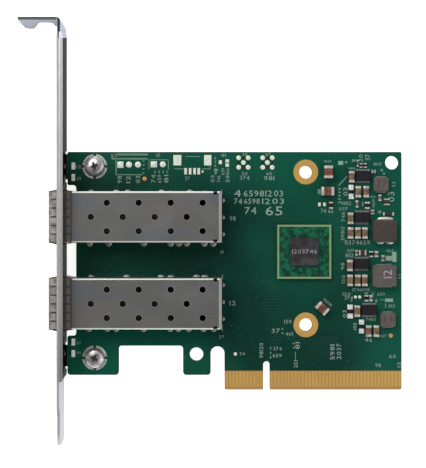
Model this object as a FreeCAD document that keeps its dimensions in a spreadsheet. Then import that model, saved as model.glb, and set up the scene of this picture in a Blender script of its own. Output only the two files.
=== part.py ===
"""Low-profile server network card with two plug-in port cages and a full-height bracket.

The row frame: the origin is at the middle of the edge connector's key notch, on the mating edge
and on the component face of the board. X runs away from the bracket, Y up the card from the edge
connector and Z out of the component face. All sizes are in millimetres.
"""
import FreeCAD, Part
import os
import re
from collections import namedtuple

import Sketcher

SIZES = {
    # Circuit board outline
    "board_thickness": 1.57,
    "board_left": -57.64,
    "board_right": 39.15,
    "board_top": 68.9,
    "recess_left": -55.1,
    "recess_bottom": 15.6,
    "recess_top": 59.3,
    "tab_bottom": 4.3,
    "gap_left": -42.76,
    "gap_right": -24.15,
    "gap_top": 12.77,
    "slot_left": -16.14,
    "slot_right": -12.15,
    "slot_top": 12.56,
    "key_half_width": 0.95,
    "key_top": 8.25,
    "bevel_length": 0.9,
    "bevel_depth": 0.4,
    "tab_corner_radius": 0.9,
    "slot_end_radius": 1.9,
    "key_end_radius": 0.9,
    "corner_cut": 0.3,
    # Holes in the board
    "tooling_hole_radius": 1.95,
    "tooling_corner_x": 36.32,
    "tooling_corner_y": 65.79,
    "tooling_tab_x": -20.26,
    "tooling_tab_y": 10.33,
    "heatsink_hole_radius": 1.9,
    "heatsink_hole_x": 11.41,
    "heatsink_upper_y": 63.07,
    "heatsink_lower_y": 18.81,
    "screw_hole_radius": 1.6,
    "screw_x": -49.72,
    "upper_screw_y": 64.7,
    "lower_screw_y": 9.25,
    "pin_hole_radius": 0.55,
    # Plated rings and edge contacts
    "plating_thickness": 0.05,
    "heatsink_ring_radius": 3.58,
    "screw_pad_radius": 3.6,
    "screw_pad_inner_radius": 1.75,
    "screw_pad_split": 0.8,
    "contact_pitch": 1.0,
    "contact_width": 0.7,
    "contact_low": 0.95,
    "contact_high": 5.38,
    "contacts_before_key": 11,
    "contacts_after_key": 38,
    "first_contact_x": -11.5,
    "after_key_contact_x": 1.5,
    # Folded steel bracket
    "steel": 0.86,
    "bracket_outer_x": -59.05,
    "plate_bottom": 4.0,
    "plate_top": 101.3,
    "plate_far": -3.5,
    "plate_near": 14.92,
    "tongue_bottom": -14.17,
    "tongue_far": 2.41,
    "tongue_near": 12.6,
    "shoulder_low": -5.7,
    "shoulder_high": -3.0,
    "apron_near": 14.5,
    "tab_surface_y": 105.85,
    "tab_far": -2.9,
    "tab_root_far": 1.0,
    "neck_top": 104.7,
    "tab_tip_x": -70.1,
    "tab_tip_radius": 1.8,
    "tab_lobe_radius": 1.2,
    "tab_root_radius": 0.8,
    "top_corner_radius": 3.0,
    "bottom_corner_radius": 1.6,
    "tongue_tip_radius": 2.0,
    "notch_inner_x": -60.95,
    "notch_outer_x": -64.65,
    "notch_mouth_x": -67.6,
    "notch_top": 7.6,
    "notch_radius": 1.6,
    "lip_edge_x": -57.18,
    "lip_end_radius": 0.8,
    "bend_inner_radius": 0.25,
    "ear_reach_x": -45.5,
    "upper_ear_low": 61.0,
    "upper_ear_high": 68.4,
    "lower_ear_low": 6.6,
    "lower_ear_high": 12.9,
    "ear_corner_radius": 1.5,
    "relief_width": 0.8,
    "relief_top": -0.9,
    "tapped_radius": 1.26,
    "port_window_clearance": 0.02,
    "light_hole_radius": 0.8,
    "light_hole_z": 1.1,
    "outer_light_offset": 14.84,
    "inner_light_offset": 11.51,
    # Bracket screws
    "screw_head_radius": 2.95,
    "screw_head_height": 1.75,
    "screw_crown": 1.0,
    "screw_shank_radius": 1.2,
    "screw_tip_z": -3.2,
    "cross_length": 3.0,
    "cross_width": 0.75,
    "cross_depth": 1.1,
    # Port cages
    "upper_port_y": 49.93,
    "lower_port_y": 25.43,
    "sheet": 0.25,
    "cage_front_x": -61.8,
    "cage_rear_x": -13.0,
    "cage_width": 14.5,
    "cage_height": 9.6,
    "cage_fold_radius": 0.6,
    "cage_rear_fold": 0.8,
    "vent_radius": 0.92,
    "vent_row_offset": 4.0,
    "outer_vent_x": -45.4,
    "middle_vent_x": -49.9,
    "vent_pitch": 9.0,
    "vents_in_row": 4,
    "corner_notch_front_x": -15.36,
    "corner_notch_rear_x": -14.26,
    "corner_notch_width": 0.9,
    "corner_notch_depth": 1.2,
    "pin_width": 0.8,
    "pin_tip_z": -2.35,
    "pin_pitch": 10.0,
    "pins_in_row": 4,
    "upper_side_pin_x": -50.5,
    "lower_side_pin_x": -45.4,
    "hook_width": 1.0,
    "hook_reach": 0.55,
    "hook_clearance": 0.05,
    "front_hook_x": -27.7,
    "hook_pitch": 9.8,
    "rear_foot_width": 1.1,
    "rear_foot_reach": 0.5,
    "rear_foot_pitch": 4.75,
    # Cage base
    "flange_height": 1.9,
    "base_front_x": -61.6,
    "base_rear_x": -13.65,
    "latch_front_x": -60.4,
    "latch_rear_x": -50.2,
    "latch_half_width": 2.4,
    "latch_slit": 0.5,
    "latch_hole_front_x": -57.6,
    "latch_hole_rear_x": -54.9,
    "latch_hole_half_width": 1.5,
    "base_window_front_x": -25.6,
    "base_window_half_width": 5.3,
    # Spring collar
    "spring_sheet": 0.15,
    "spring_bulge": 0.45,
    "collar_rear_x": -55.3,
    "collar_band": 0.6,
    "bulge_front_x": -60.0,
    "bulge_rear_x": -57.2,
    "finger_width": 1.95,
    "finger_pitch": 2.45,
    "fingers_across": 6,
    "fingers_up": 4,
    # Port connector
    "housing_front_x": -23.6,
    "housing_rear_x": -14.4,
    "housing_width": 9.6,
    "housing_height": 5.6,
    "housing_nose_x": -20.9,
    "housing_nose_height": 4.7,
    "card_slot_width": 8.2,
    "card_slot_low": 2.1,
    "card_slot_high": 3.7,
    "card_slot_depth": 5.2,
    "card_slot_bevel": 0.35,
    "port_contact_sheet": 0.2,
    "port_contact_width": 0.4,
    "port_contact_pitch": 0.8,
    "port_contacts_in_row": 10,
    "port_contact_foot": 0.8,
    # Network processor
    "chip_x": 10.87,
    "chip_y": 39.99,
    "chip_side": 15.6,
    "chip_standoff": 0.35,
    "substrate_thickness": 0.9,
    "die_side": 8.0,
    "die_thickness": 0.75,
    "ball_side": 0.7,
    "ball_pitch": 2.1,
    "balls_in_row": 7,
    # Regulators
    "regulator_length": 4.3,
    "regulator_width": 2.9,
    "regulator_height": 0.95,
    "regulator_bevel": 0.2,
    "regulator_lead_count": 6,
    "regulator_lead_pitch": 0.65,
    "regulator_lead_width": 0.36,
    "regulator_lead_reach": 0.5,
    "regulator_lead_sheet": 0.15,
    "regulator_lead_foot": 0.22,
    "regulator_shoulder_z": 0.6,
    # Inductors
    "small_inductor_length": 4.3,
    "small_inductor_width": 4.1,
    "small_inductor_height": 2.0,
    "small_terminal_width": 2.9,
    "large_inductor_length": 6.75,
    "large_inductor_width": 6.1,
    "large_inductor_height": 3.0,
    "large_terminal_width": 4.6,
    "inductor_corner": 0.45,
    "terminal_sheet": 0.3,
    "terminal_rise": 0.75,
    # Chip capacitors and resistor
    "big_capacitor_length": 3.6,
    "big_capacitor_width": 2.5,
    "big_capacitor_height": 2.3,
    "capacitor_length": 3.3,
    "capacitor_width": 1.6,
    "capacitor_height": 1.6,
    "resistor_length": 2.0,
    "resistor_width": 1.25,
    "resistor_height": 0.5,
    "end_cap_share": 0.19,
    "end_cap_step": 0.05,
    # Status lights
    "light_length": 1.0,
    "light_width": 2.0,
    "light_height": 0.8,
    "light_x": -55.85,
    # Small capacitors on the solder side, under the processor
    "decoupler_length": 1.0,
    "decoupler_width": 0.5,
    "decoupler_height": 0.35,
    "decoupler_pitch": 3.0,
    "decouplers_in_row": 3,
}

# Parts of the power supply: middle of each on the board, and its turn about Z in degrees.
REGULATORS = [(27.91, 61.92), (27.65, 49.94), (27.56, 36.53), (29.74, 23.14)]
SMALL_INDUCTORS = [(33.02, 59.45), (35.0, 20.41)]
LARGE_INDUCTORS = [(33.9, 46.0), (33.85, 33.1)]
BIG_CAPACITORS = [(17.83, 63.01, 90), (17.6, 57.47, 0), (16.05, 23.68, -42)]
CAPACITORS = [
    (24.57, 61.63, 90), (26.45, 57.31, 90), (28.73, 57.31, 90), (24.23, 49.64, 90),
    (24.23, 45.41, 90), (26.35, 45.41, 90), (28.38, 45.41, 90), (24.02, 36.04, 90),
    (24.08, 31.74, 90), (26.3, 31.74, 90), (28.33, 31.74, 90), (26.16, 22.85, 90),
    (29.45, 17.11, 90), (31.63, 17.11, 90),
]
RESISTOR = (18.67, 53.43, 90)
SCREW_TURNS = {"upper": 20, "lower": 65}

# A circle with sides is drawn as that regular polygon, which keeps small repeated holes light.
Circle = namedtuple("Circle", "x y radius sides", defaults=(0,))
HOLE_SIDES = 12
PIN_HOLE_SIDES = 8
ALIAS = re.compile(r"\b(" + "|".join(SIZES) + r")\b")
NEAR = 1e-4

doc = FreeCAD.newDocument("network_card")
sheet = doc.addObject("Spreadsheet::Sheet", "sizes")


def fill_sheet():
    """Write every driving dimension into the spreadsheet, its name beside its value."""
    for row, (name, number) in enumerate(SIZES.items(), start=1):
        sheet.set(f"A{row}", name)
        sheet.set(f"B{row}", str(number))
        sheet.setAlias(f"B{row}", name)
    doc.recompute()


def bound(expression):
    """Turn the plain names in an expression into references to the spreadsheet."""
    return ALIAS.sub(r"sizes.\1", str(expression))


def value(expression):
    """Work out an expression in the spreadsheet's names as a number."""
    return float(doc.Objects[-1].evalExpression(bound(expression)))


def bind(thing, path, expression):
    thing.setExpression(path, bound(expression))


# ------------------------------------------------------------------ bodies, sketches, features

def new_body(name, several=False):
    """Start a sub-part; several is for one node that holds separate like solids."""
    body = doc.addObject("PartDesign::Body", name)
    body.Label = name
    body.AllowCompound = several
    return body


def base_plane(body, role):
    return next(item for item in body.Origin.OriginFeatures if item.Role == role)


def hold(sketch, joints, dimensions):
    """Add all of an outline's constraints in one solve, then bind each dimension."""
    rules = [rule for rule, _ in dimensions]
    numbers = sketch.addConstraint(joints + rules)
    for number, (_, expression) in zip(numbers[len(joints):], dimensions):
        bind(sketch, f"Constraints[{number}]", expression)


def draw_polygon(sketch, points):
    """Draw a closed outline whose every corner is held by two bound dimensions."""
    places = [(value(x), value(y)) for x, y in points]
    first = sketch.GeometryCount
    count = len(points)
    corners = [FreeCAD.Vector(*place) for place in places]
    sides = [Part.LineSegment(corners[index - 1], corners[index]) for index in range(count)]
    sketch.addGeometry(sides, False)
    joints = [Sketcher.Constraint("Coincident", first + index, 2, first + (index + 1) % count, 1)
              for index in range(count)]
    dimensions = [(Sketcher.Constraint(kind, -1, 1, first + index, 2, at), expression)
                  for index, corner in enumerate(points)
                  for kind, expression, at in zip(("DistanceX", "DistanceY"), corner, places[index])]
    hold(sketch, joints, dimensions)


def draw_circle(sketch, circle):
    """Draw a circle whose centre and radius are held by bound dimensions."""
    x, y, radius = (value(part) for part in circle[:3])
    arc = Part.Circle(FreeCAD.Vector(x, y), FreeCAD.Vector(0, 0, 1), radius)
    index = sketch.addGeometry(arc, False)
    hold(sketch, [], [
        (Sketcher.Constraint("DistanceX", -1, 1, index, 3, x), circle.x),
        (Sketcher.Constraint("DistanceY", -1, 1, index, 3, y), circle.y),
        (Sketcher.Constraint("Radius", index, radius), circle.radius),
    ])


def box_outline(left, bottom, right, top):
    return [(left, bottom), (right, bottom), (right, top), (left, top)]


def polygon_corners(circle):
    """Corners of the regular polygon that stands for a small circle."""
    turns = [360 * (index + 0.5) / circle.sides for index in range(circle.sides)]
    return [(f"{circle.x} + {circle.radius} * cos({turn})",
             f"{circle.y} + {circle.radius} * sin({turn})") for turn in turns]


def extrude(body, kind, name, plane, outlines, low, high):
    """Pad or pocket outlines between two levels along the axis that crosses the plane."""
    sketch = body.newObject("Sketcher::SketchObject", f"{name}_sketch")
    sketch.AttachmentSupport = (base_plane(body, plane), [""])
    sketch.MapMode = "FlatFace"
    faces_back = plane == "XZ_Plane"
    starts_high = (kind == "Pocket") != faces_back
    level = high if starts_high else low
    bind(sketch, "AttachmentOffset.Base.z", f"-({level})" if faces_back else level)
    for outline in outlines:
        if not isinstance(outline, Circle):
            draw_polygon(sketch, outline)
        elif outline.sides:
            draw_polygon(sketch, polygon_corners(outline))
        else:
            draw_circle(sketch, outline)
    before = body.Shape.Volume if body.Tip else 0
    feature = body.newObject(f"PartDesign::{kind}", name)
    feature.Profile = sketch
    bind(feature, "Length", f"({high}) - ({low})")
    doc.recompute()
    if abs(body.Shape.Volume - before) < NEAR:
        raise ValueError(f"{name} changes nothing in {body.Label}")
    return feature


def pad(body, name, plane, outlines, low, high):
    return extrude(body, "Pad", name, plane, outlines, low, high)


def pocket(body, name, plane, outlines, low, high):
    return extrude(body, "Pocket", name, plane, outlines, low, high)


def block(body, name, lows, highs):
    """Add a plain block between two opposite corners."""
    feature = body.newObject("PartDesign::AdditiveBox", name)
    for axis, side, low, high in zip("xyz", ("Length", "Width", "Height"), lows, highs):
        bind(feature, f"Placement.Base.{axis}", low)
        bind(feature, side, f"({high}) - ({low})")
    doc.recompute()
    return feature


def repeat(body, name, original, runs):
    """Repeat a feature along one or two axes; each run is (axis, count, pitch)."""
    pattern = body.newObject("PartDesign::LinearPattern", name)
    pattern.Originals = [original]
    for suffix, (axis, count, pitch) in zip(("", "2"), runs):
        setattr(pattern, "Direction" + suffix, (base_plane(body, f"{axis}_Axis"), [""]))
        bind(pattern, "Length" + suffix, f"(({count}) - 1) * ({pitch})")
        bind(pattern, "Occurrences" + suffix, count)
    body.Tip = pattern
    doc.recompute()
    return pattern


def edges_at(shape, **levels):
    """Name the edges that lie at all the given x, y and z levels."""
    wanted = {axis: value(level) for axis, level in levels.items()}
    found = []
    for index, edge in enumerate(shape.Edges, start=1):
        box = edge.BoundBox
        spans = {"x": (box.XMin, box.XMax), "y": (box.YMin, box.YMax), "z": (box.ZMin, box.ZMax)}
        if all(max(abs(end - level) for end in spans[axis]) < NEAR
               for axis, level in wanted.items()):
            found.append(f"Edge{index}")
    return found


def dress(body, kind, name, size, places):
    """Fillet or chamfer the edges found at each place, by a bound size."""
    base = body.Tip
    names = sorted({edge for place in places for edge in edges_at(base.Shape, **place)})
    feature = body.newObject(f"PartDesign::{kind}", name)
    feature.Base = (base, names)
    bind(feature, "Radius" if kind == "Fillet" else "Size", size)
    doc.recompute()
    return feature


def fillet(body, name, radius, places):
    return dress(body, "Fillet", name, radius, places)


def chamfer(body, name, size, places):
    return dress(body, "Chamfer", name, size, places)


def move(body, x="0", y="0", z="0", turn=None):
    """Place a body in the row frame by bound offsets, with an optional turn about Z."""
    if turn is not None:
        body.Placement.Rotation = FreeCAD.Rotation(FreeCAD.Vector(0, 0, 1), turn)
    for axis, expression in zip("xyz", (x, y, z)):
        bind(body, f"Placement.Base.{axis}", expression)


# ------------------------------------------------------------------ circuit board

PORTS = ("upper", "lower")


def make_board():
    """Routed laminate with the stepped lower edge, key notch, bevel and all its holes."""
    body = new_body("circuit_board")
    outline = [
        ("board_left", "tab_bottom"), ("gap_left", "tab_bottom"), ("gap_left", "gap_top"),
        ("gap_right", "gap_top"), ("gap_right", "tab_bottom"), ("slot_left", "tab_bottom"),
        ("slot_left", "slot_top"), ("slot_right", "slot_top"), ("slot_right", "0"),
        ("-key_half_width", "0"), ("-key_half_width", "key_top"), ("key_half_width", "key_top"),
        ("key_half_width", "0"), ("board_right", "0"), ("board_right", "board_top"),
        ("board_left", "board_top"), ("board_left", "recess_top"), ("recess_left", "recess_top"),
        ("recess_left", "recess_bottom"), ("board_left", "recess_bottom"),
    ]
    pad(body, "laminate", "XY_Plane", [outline], "-board_thickness", "0")
    rounded = {
        "tab_corner_radius": (0, 1, 2, 3, 4, 5, 17, 18),
        "slot_end_radius": (6, 7),
        "key_end_radius": (10, 11),
    }
    for radius, corners in rounded.items():
        places = [{"x": outline[corner][0], "y": outline[corner][1]} for corner in corners]
        fillet(body, f"{radius}_corners", radius, places)
    chamfer(body, "cut_corners", "corner_cut",
            [{"x": outline[corner][0], "y": outline[corner][1]} for corner in (8, 13, 14, 15, 16, 19)])
    for side, face, deep in (("front", "0", "-bevel_depth"),
                             ("back", "-board_thickness", "bevel_depth - board_thickness")):
        wedge = [("-0.1", face), ("bevel_length", face), ("0", deep), ("-0.1", deep)]
        pocket(body, f"{side}_bevel", "YZ_Plane", [wedge], "slot_right", "board_right")
    holes = [
        Circle("tooling_corner_x", "tooling_corner_y", "tooling_hole_radius"),
        Circle("tooling_tab_x", "tooling_tab_y", "tooling_hole_radius"),
        Circle("heatsink_hole_x", "heatsink_upper_y", "heatsink_hole_radius"),
        Circle("heatsink_hole_x", "heatsink_lower_y", "heatsink_hole_radius"),
        Circle("screw_x", "upper_screw_y", "screw_hole_radius", HOLE_SIDES),
        Circle("screw_x", "lower_screw_y", "screw_hole_radius", HOLE_SIDES),
    ]
    pocket(body, "holes", "XY_Plane", holes, "-board_thickness", "0")
    for port in PORTS:
        for side, sign in (("upper", "+"), ("lower", "-")):
            name = f"{port}_cage_{side}_pin_hole"
            first = Circle(f"{side}_side_pin_x", f"{port}_port_y {sign} (cage_width - sheet) / 2",
                           "pin_hole_radius", PIN_HOLE_SIDES)
            hole = pocket(body, name, "XY_Plane", [first], "-board_thickness", "0")
            repeat(body, f"{name}s", hole, [("X", "pins_in_row", "pin_pitch")])
    return body


def make_plating():
    """Gold rings round the heat-sink holes and split tinned pads under the bracket screws."""
    rings = new_body("heatsink_hole_rings", several=True)
    for side, sides, low, high in (
            ("front", 0, "0", "plating_thickness"),
            ("back", HOLE_SIDES, "-board_thickness - plating_thickness", "-board_thickness")):
        outlines = [Circle("heatsink_hole_x", f"heatsink_{end}_y", f"heatsink_{edge}_radius", sides)
                    for end in ("upper", "lower") for edge in ("ring", "hole")]
        pad(rings, f"{side}_rings", "XY_Plane", outlines, low, high)

    pads = new_body("screw_ground_pads", several=True)
    outlines = [Circle("screw_x", f"{port}_screw_y", radius, 2 * HOLE_SIDES)
                for port in PORTS for radius in ("screw_pad_radius", "screw_pad_inner_radius")]
    pad(pads, "round_pads", "XY_Plane", outlines, "0", "plating_thickness")
    half = "screw_pad_split / 2"
    pocket(pads, "upright_split", "XY_Plane",
           [box_outline(f"screw_x - {half}", "0", f"screw_x + {half}", "board_top")],
           "0", "plating_thickness")
    for port in PORTS:
        pocket(pads, f"{port}_level_split", "XY_Plane",
               [box_outline("board_left", f"{port}_screw_y - {half}", "gap_left",
                            f"{port}_screw_y + {half}")],
               "0", "plating_thickness")
    return [rings, pads]


def make_edge_contacts():
    """Two rows of gold contact strips, parted by the key notch, on each face of the tongue."""
    made = []
    for side, low, high in (("front", "0", "plating_thickness"),
                            ("back", "-board_thickness - plating_thickness", "-board_thickness")):
        body = new_body(f"edge_contacts_{side}", several=True)
        for run, middle in (("before_key", "first_contact_x"), ("after_key", "after_key_contact_x")):
            strip = block(body, f"{run}_{side}_strip",
                          (f"{middle} - contact_width / 2", "contact_low", low),
                          (f"{middle} + contact_width / 2", "contact_high", high))
            repeat(body, f"{run}_{side}_row", strip, [("X", f"contacts_{run}", "contact_pitch")])
        made.append(body)
    return made


# ------------------------------------------------------------------ bracket and its screws

def make_bracket():
    """One folded sheet: plate, stiffening lip, outward top tab, two ears and a slot tongue."""
    body = new_body("bracket")
    inner = "(bracket_outer_x + steel)"
    plate = [
        ("tongue_bottom", "tongue_far"), ("plate_bottom", "tongue_far"),
        ("plate_bottom", "plate_far"), ("neck_top", "plate_far"), ("neck_top", "tab_root_far"),
        ("tab_surface_y", "tab_root_far"),
        ("tab_surface_y", "tongue_near"), ("plate_top", "tongue_near"),
        ("plate_top", "plate_near"), ("plate_bottom", "plate_near"),
        ("plate_bottom", "apron_near"), ("shoulder_high", "apron_near"),
        ("shoulder_low", "tongue_near"), ("tongue_bottom", "tongue_near"),
    ]
    pad(body, "plate", "YZ_Plane", [plate], "bracket_outer_x", inner)
    pad(body, "lip", "XY_Plane", [box_outline(inner, "plate_bottom", "lip_edge_x", "plate_top")],
        "plate_near - steel", "plate_near")
    tab = [
        ("tab_tip_x", "tab_far"), ("notch_mouth_x", "tab_far"), ("notch_outer_x", "notch_top"),
        ("notch_inner_x", "notch_top"), ("notch_inner_x", "tab_root_far"),
        ("bracket_outer_x", "tab_root_far"), ("bracket_outer_x", "tongue_near"),
        ("tab_tip_x", "tongue_near"),
    ]
    pad(body, "tab", "XZ_Plane", [tab], "tab_surface_y - steel", "tab_surface_y")
    ear_top = "-board_thickness"
    ear_under = "-board_thickness - steel"
    for port in PORTS:
        low = f"{port}_ear_low"
        high = f"{port}_ear_high"
        pad(body, f"{port}_ear", "XY_Plane", [box_outline(inner, low, "ear_reach_x", high)],
            ear_under, ear_top)
        pocket(body, f"{port}_ear_clearance", "YZ_Plane",
               [box_outline(f"{low} - relief_width", "plate_far - 1", f"{high} + relief_width",
                            ear_under)],
               "bracket_outer_x", inner)
        reliefs = [box_outline(f"{low} - relief_width", "plate_far - 1", low, "relief_top"),
                   box_outline(high, "plate_far - 1", f"{high} + relief_width", "relief_top")]
        pocket(body, f"{port}_ear_reliefs", "YZ_Plane", reliefs, "bracket_outer_x", inner)
        pocket(body, f"{port}_tapped_hole", "XY_Plane",
               [Circle("screw_x", f"{port}_screw_y", "tapped_radius", HOLE_SIDES)],
               ear_under, ear_top)

    reach = "(spring_bulge + port_window_clearance)"
    windows = [box_outline(f"{port}_port_y - cage_width / 2 - {reach}", f"-{reach}",
                           f"{port}_port_y + cage_width / 2 + {reach}", f"cage_height + {reach}")
               for port in PORTS]
    pocket(body, "port_windows", "YZ_Plane", windows, "bracket_outer_x", inner)
    light_holes = [Circle(place, "light_hole_z", "light_hole_radius", HOLE_SIDES)
                   for place in light_places()]
    pocket(body, "light_holes", "YZ_Plane", light_holes, "bracket_outer_x", inner)

    fillet(body, "top_corner", "top_corner_radius", [{"y": "neck_top", "z": "plate_far"}])
    fillet(body, "bottom_corners", "bottom_corner_radius",
           [{"y": "plate_bottom", "z": "plate_far"}, {"y": "plate_bottom", "z": "tongue_far"}])
    fillet(body, "tongue_tip", "tongue_tip_radius",
           [{"y": "tongue_bottom", "z": "tongue_far"}, {"y": "tongue_bottom", "z": "tongue_near"}])
    fillet(body, "tab_tip", "tab_tip_radius", [{"x": "tab_tip_x", "z": "tab_far"}])
    fillet(body, "tab_lobe", "tab_lobe_radius", [{"x": "notch_mouth_x", "z": "tab_far"}])
    fillet(body, "tab_root", "tab_root_radius", [{"x": "notch_inner_x", "z": "tab_root_far"}])
    fillet(body, "notch_end", "notch_radius",
           [{"x": "notch_inner_x", "z": "notch_top"}, {"x": "notch_outer_x", "z": "notch_top"}])
    fillet(body, "lip_ends", "lip_end_radius",
           [{"x": "lip_edge_x", "y": "plate_bottom"}, {"x": "lip_edge_x", "y": "plate_top"}])
    fillet(body, "ear_corners", "ear_corner_radius",
           [{"x": "ear_reach_x", "y": f"{port}_ear_{end}"}
            for port in PORTS for end in ("low", "high")])
    fillet(body, "inner_bends", "bend_inner_radius",
           [{"x": "bracket_outer_x", "y": "tab_surface_y - steel"},
            {"x": inner, "z": "plate_near - steel"}, {"x": inner, "z": ear_top}])
    fillet(body, "outer_bends", "bend_inner_radius + steel - 0.02",
           [{"x": inner, "y": "tab_surface_y"}, {"x": "bracket_outer_x", "z": "plate_near"},
            {"x": "bracket_outer_x", "z": ear_under}])
    return body


def light_places():
    """Y of the four status lights: two above the upper port and two below the lower one."""
    for offset in ("outer_light_offset", "inner_light_offset"):
        yield f"upper_port_y + {offset}"
        yield f"lower_port_y - {offset}"


def make_screws():
    """Pan-head screws with a cross recess, through the board into the bracket's ears."""
    made = []
    for port, turn in SCREW_TURNS.items():
        body = new_body(f"{port}_bracket_screw")
        pad(body, f"{port}_head", "XY_Plane",
            [Circle("0", "0", "screw_head_radius", 2 * HOLE_SIDES)],
            "plating_thickness", "plating_thickness + screw_head_height")
        chamfer(body, f"{port}_crown", "screw_crown",
                [{"z": "plating_thickness + screw_head_height"}])
        pad(body, f"{port}_shank", "XY_Plane",
            [Circle("0", "0", "screw_shank_radius", HOLE_SIDES)], "screw_tip_z", "plating_thickness")
        arm = "cross_length / 2"
        half = "cross_width / 2"
        cross = [
            (f"-{arm}", f"-{half}"), (f"-{half}", f"-{half}"), (f"-{half}", f"-{arm}"),
            (half, f"-{arm}"), (half, f"-{half}"), (arm, f"-{half}"), (arm, half), (half, half),
            (half, arm), (f"-{half}", arm), (f"-{half}", half), (f"-{arm}", half),
        ]
        crown = "plating_thickness + screw_head_height"
        pocket(body, f"{port}_recess", "XY_Plane", [cross], f"{crown} - cross_depth", crown)
        move(body, "screw_x", f"{port}_screw_y", turn=turn)
        made.append(body)
    return made


# ------------------------------------------------------------------ port cages

def make_cage_shell(port):
    """Thin folded cover, open in front and below, with vents, notched rear corners and pins."""
    body = new_body(f"{port}_cage_shell")
    half = "cage_width / 2"
    block(body, f"{port}_cover", ("cage_front_x", f"-{half}", "0"),
          ("cage_rear_x", half, "cage_height"))
    solid = body.Tip
    open_faces = [f"Face{index}" for index, face in enumerate(solid.Shape.Faces, start=1)
                  if face.BoundBox.ZMax < NEAR
                  or face.BoundBox.XMax < value("cage_front_x") + NEAR]
    wall = body.newObject("PartDesign::Thickness", f"{port}_wall")
    wall.Base = (solid, open_faces)
    bind(wall, "Value", "sheet")
    wall.Reversed = True
    doc.recompute()
    for layer, deep in (("inner", "sheet"), ("outer", "0")):
        chamfer(body, f"{port}_{layer}_rear_fold", f"cage_rear_fold - {deep}",
                [{"x": f"cage_rear_x - {deep}", "z": f"cage_height - {deep}"}])
    for layer, deep in (("inner", "sheet"), ("outer", "0")):
        fillet(body, f"{port}_{layer}_long_folds", f"cage_fold_radius - {deep}",
               [{"y": f"{sign}({half} - {deep})", "z": f"cage_height - {deep}"}
                for sign in ("", "-")])

    under_top = "cage_height - sheet"
    rows = {"outer": ("-vent_row_offset", "vent_row_offset"), "middle": ("0",)}
    for row, heights in rows.items():
        vents = [Circle(f"{row}_vent_x", y, "vent_radius", HOLE_SIDES) for y in heights]
        first = pocket(body, f"{port}_{row}_vents", "XY_Plane", vents, under_top, "cage_height")
        repeat(body, f"{port}_{row}_vent_rows", first, [("X", "vents_in_row", "vent_pitch")])

    notches = [box_outline("corner_notch_front_x", low, "corner_notch_rear_x", high)
               for low, high in ((f"-{half}", f"corner_notch_width - {half}"),
                                 (f"{half} - corner_notch_width", half))]
    pocket(body, f"{port}_corner_notches", "XY_Plane", notches,
           "cage_height - corner_notch_depth", "cage_height")
    hook_gap = "(hook_width / 2 + hook_clearance)"
    slit = box_outline(f"front_hook_x - {hook_gap}", "0", f"front_hook_x + {hook_gap}",
                       "sheet + hook_clearance")
    slits = pocket(body, f"{port}_hook_slits", "XZ_Plane", [slit], f"-{half}", half)
    repeat(body, f"{port}_hook_slit_rows", slits, [("X", "2", "hook_pitch")])

    for side, low, high in (("upper", f"{half} - sheet", half), ("lower", f"-{half}", f"sheet - {half}")):
        first = f"{side}_side_pin_x"
        pin = block(body, f"{port}_{side}_pin", (f"{first} - pin_width / 2", low, "pin_tip_z"),
                    (f"{first} + pin_width / 2", high, "sheet"))
        repeat(body, f"{port}_{side}_pins", pin, [("X", "pins_in_row", "pin_pitch")])
    foot = block(body, f"{port}_rear_foot",
                 ("cage_rear_x - sheet", "-rear_foot_pitch - rear_foot_width / 2", "0"),
                 ("cage_rear_x + rear_foot_reach", "rear_foot_width / 2 - rear_foot_pitch", "sheet"))
    repeat(body, f"{port}_rear_feet", foot, [("Y", "3", "rear_foot_pitch")])
    move(body, y=f"{port}_port_y")
    return body


def make_cage_base(port):
    """Base plate with side flanges, hooks out through the cover and the module's spring latch."""
    body = new_body(f"{port}_cage_base")
    half = "(cage_width / 2 - sheet)"
    block(body, f"{port}_floor", ("base_front_x", f"-{half}", "0"), ("base_rear_x", half, "sheet"))
    for side, low, high in (("upper", f"{half} - sheet", half), ("lower", f"-{half}", f"sheet - {half}")):
        block(body, f"{port}_{side}_flange", ("base_front_x", low, "0"),
              ("base_window_front_x", high, "flange_height"))
    hook = block(body, f"{port}_hooks",
                 ("front_hook_x - hook_width / 2", "-cage_width / 2 - hook_reach", "0"),
                 ("front_hook_x + hook_width / 2", "cage_width / 2 + hook_reach", "sheet"))
    repeat(body, f"{port}_hook_rows", hook, [("X", "2", "hook_pitch")])
    pocket(body, f"{port}_connector_window", "XY_Plane",
           [box_outline("base_window_front_x", "-base_window_half_width", "base_rear_x",
                        "base_window_half_width")], "0", "sheet")
    outer = "(latch_half_width + latch_slit)"
    slit = [
        ("latch_front_x", "-latch_half_width"), ("latch_front_x", "latch_half_width"),
        ("latch_rear_x", "latch_half_width"), ("latch_rear_x", outer),
        ("latch_front_x - latch_slit", outer), ("latch_front_x - latch_slit", f"-{outer}"),
        ("latch_rear_x", f"-{outer}"), ("latch_rear_x", "-latch_half_width"),
    ]
    pocket(body, f"{port}_latch_slit", "XY_Plane", [slit], "0", "sheet")
    hole = [("latch_hole_front_x", "-latch_hole_half_width"), ("latch_hole_rear_x", "0"),
            ("latch_hole_front_x", "latch_hole_half_width")]
    pocket(body, f"{port}_latch_hole", "XY_Plane", [hole], "0", "sheet")
    move(body, y=f"{port}_port_y")
    return body


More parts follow.
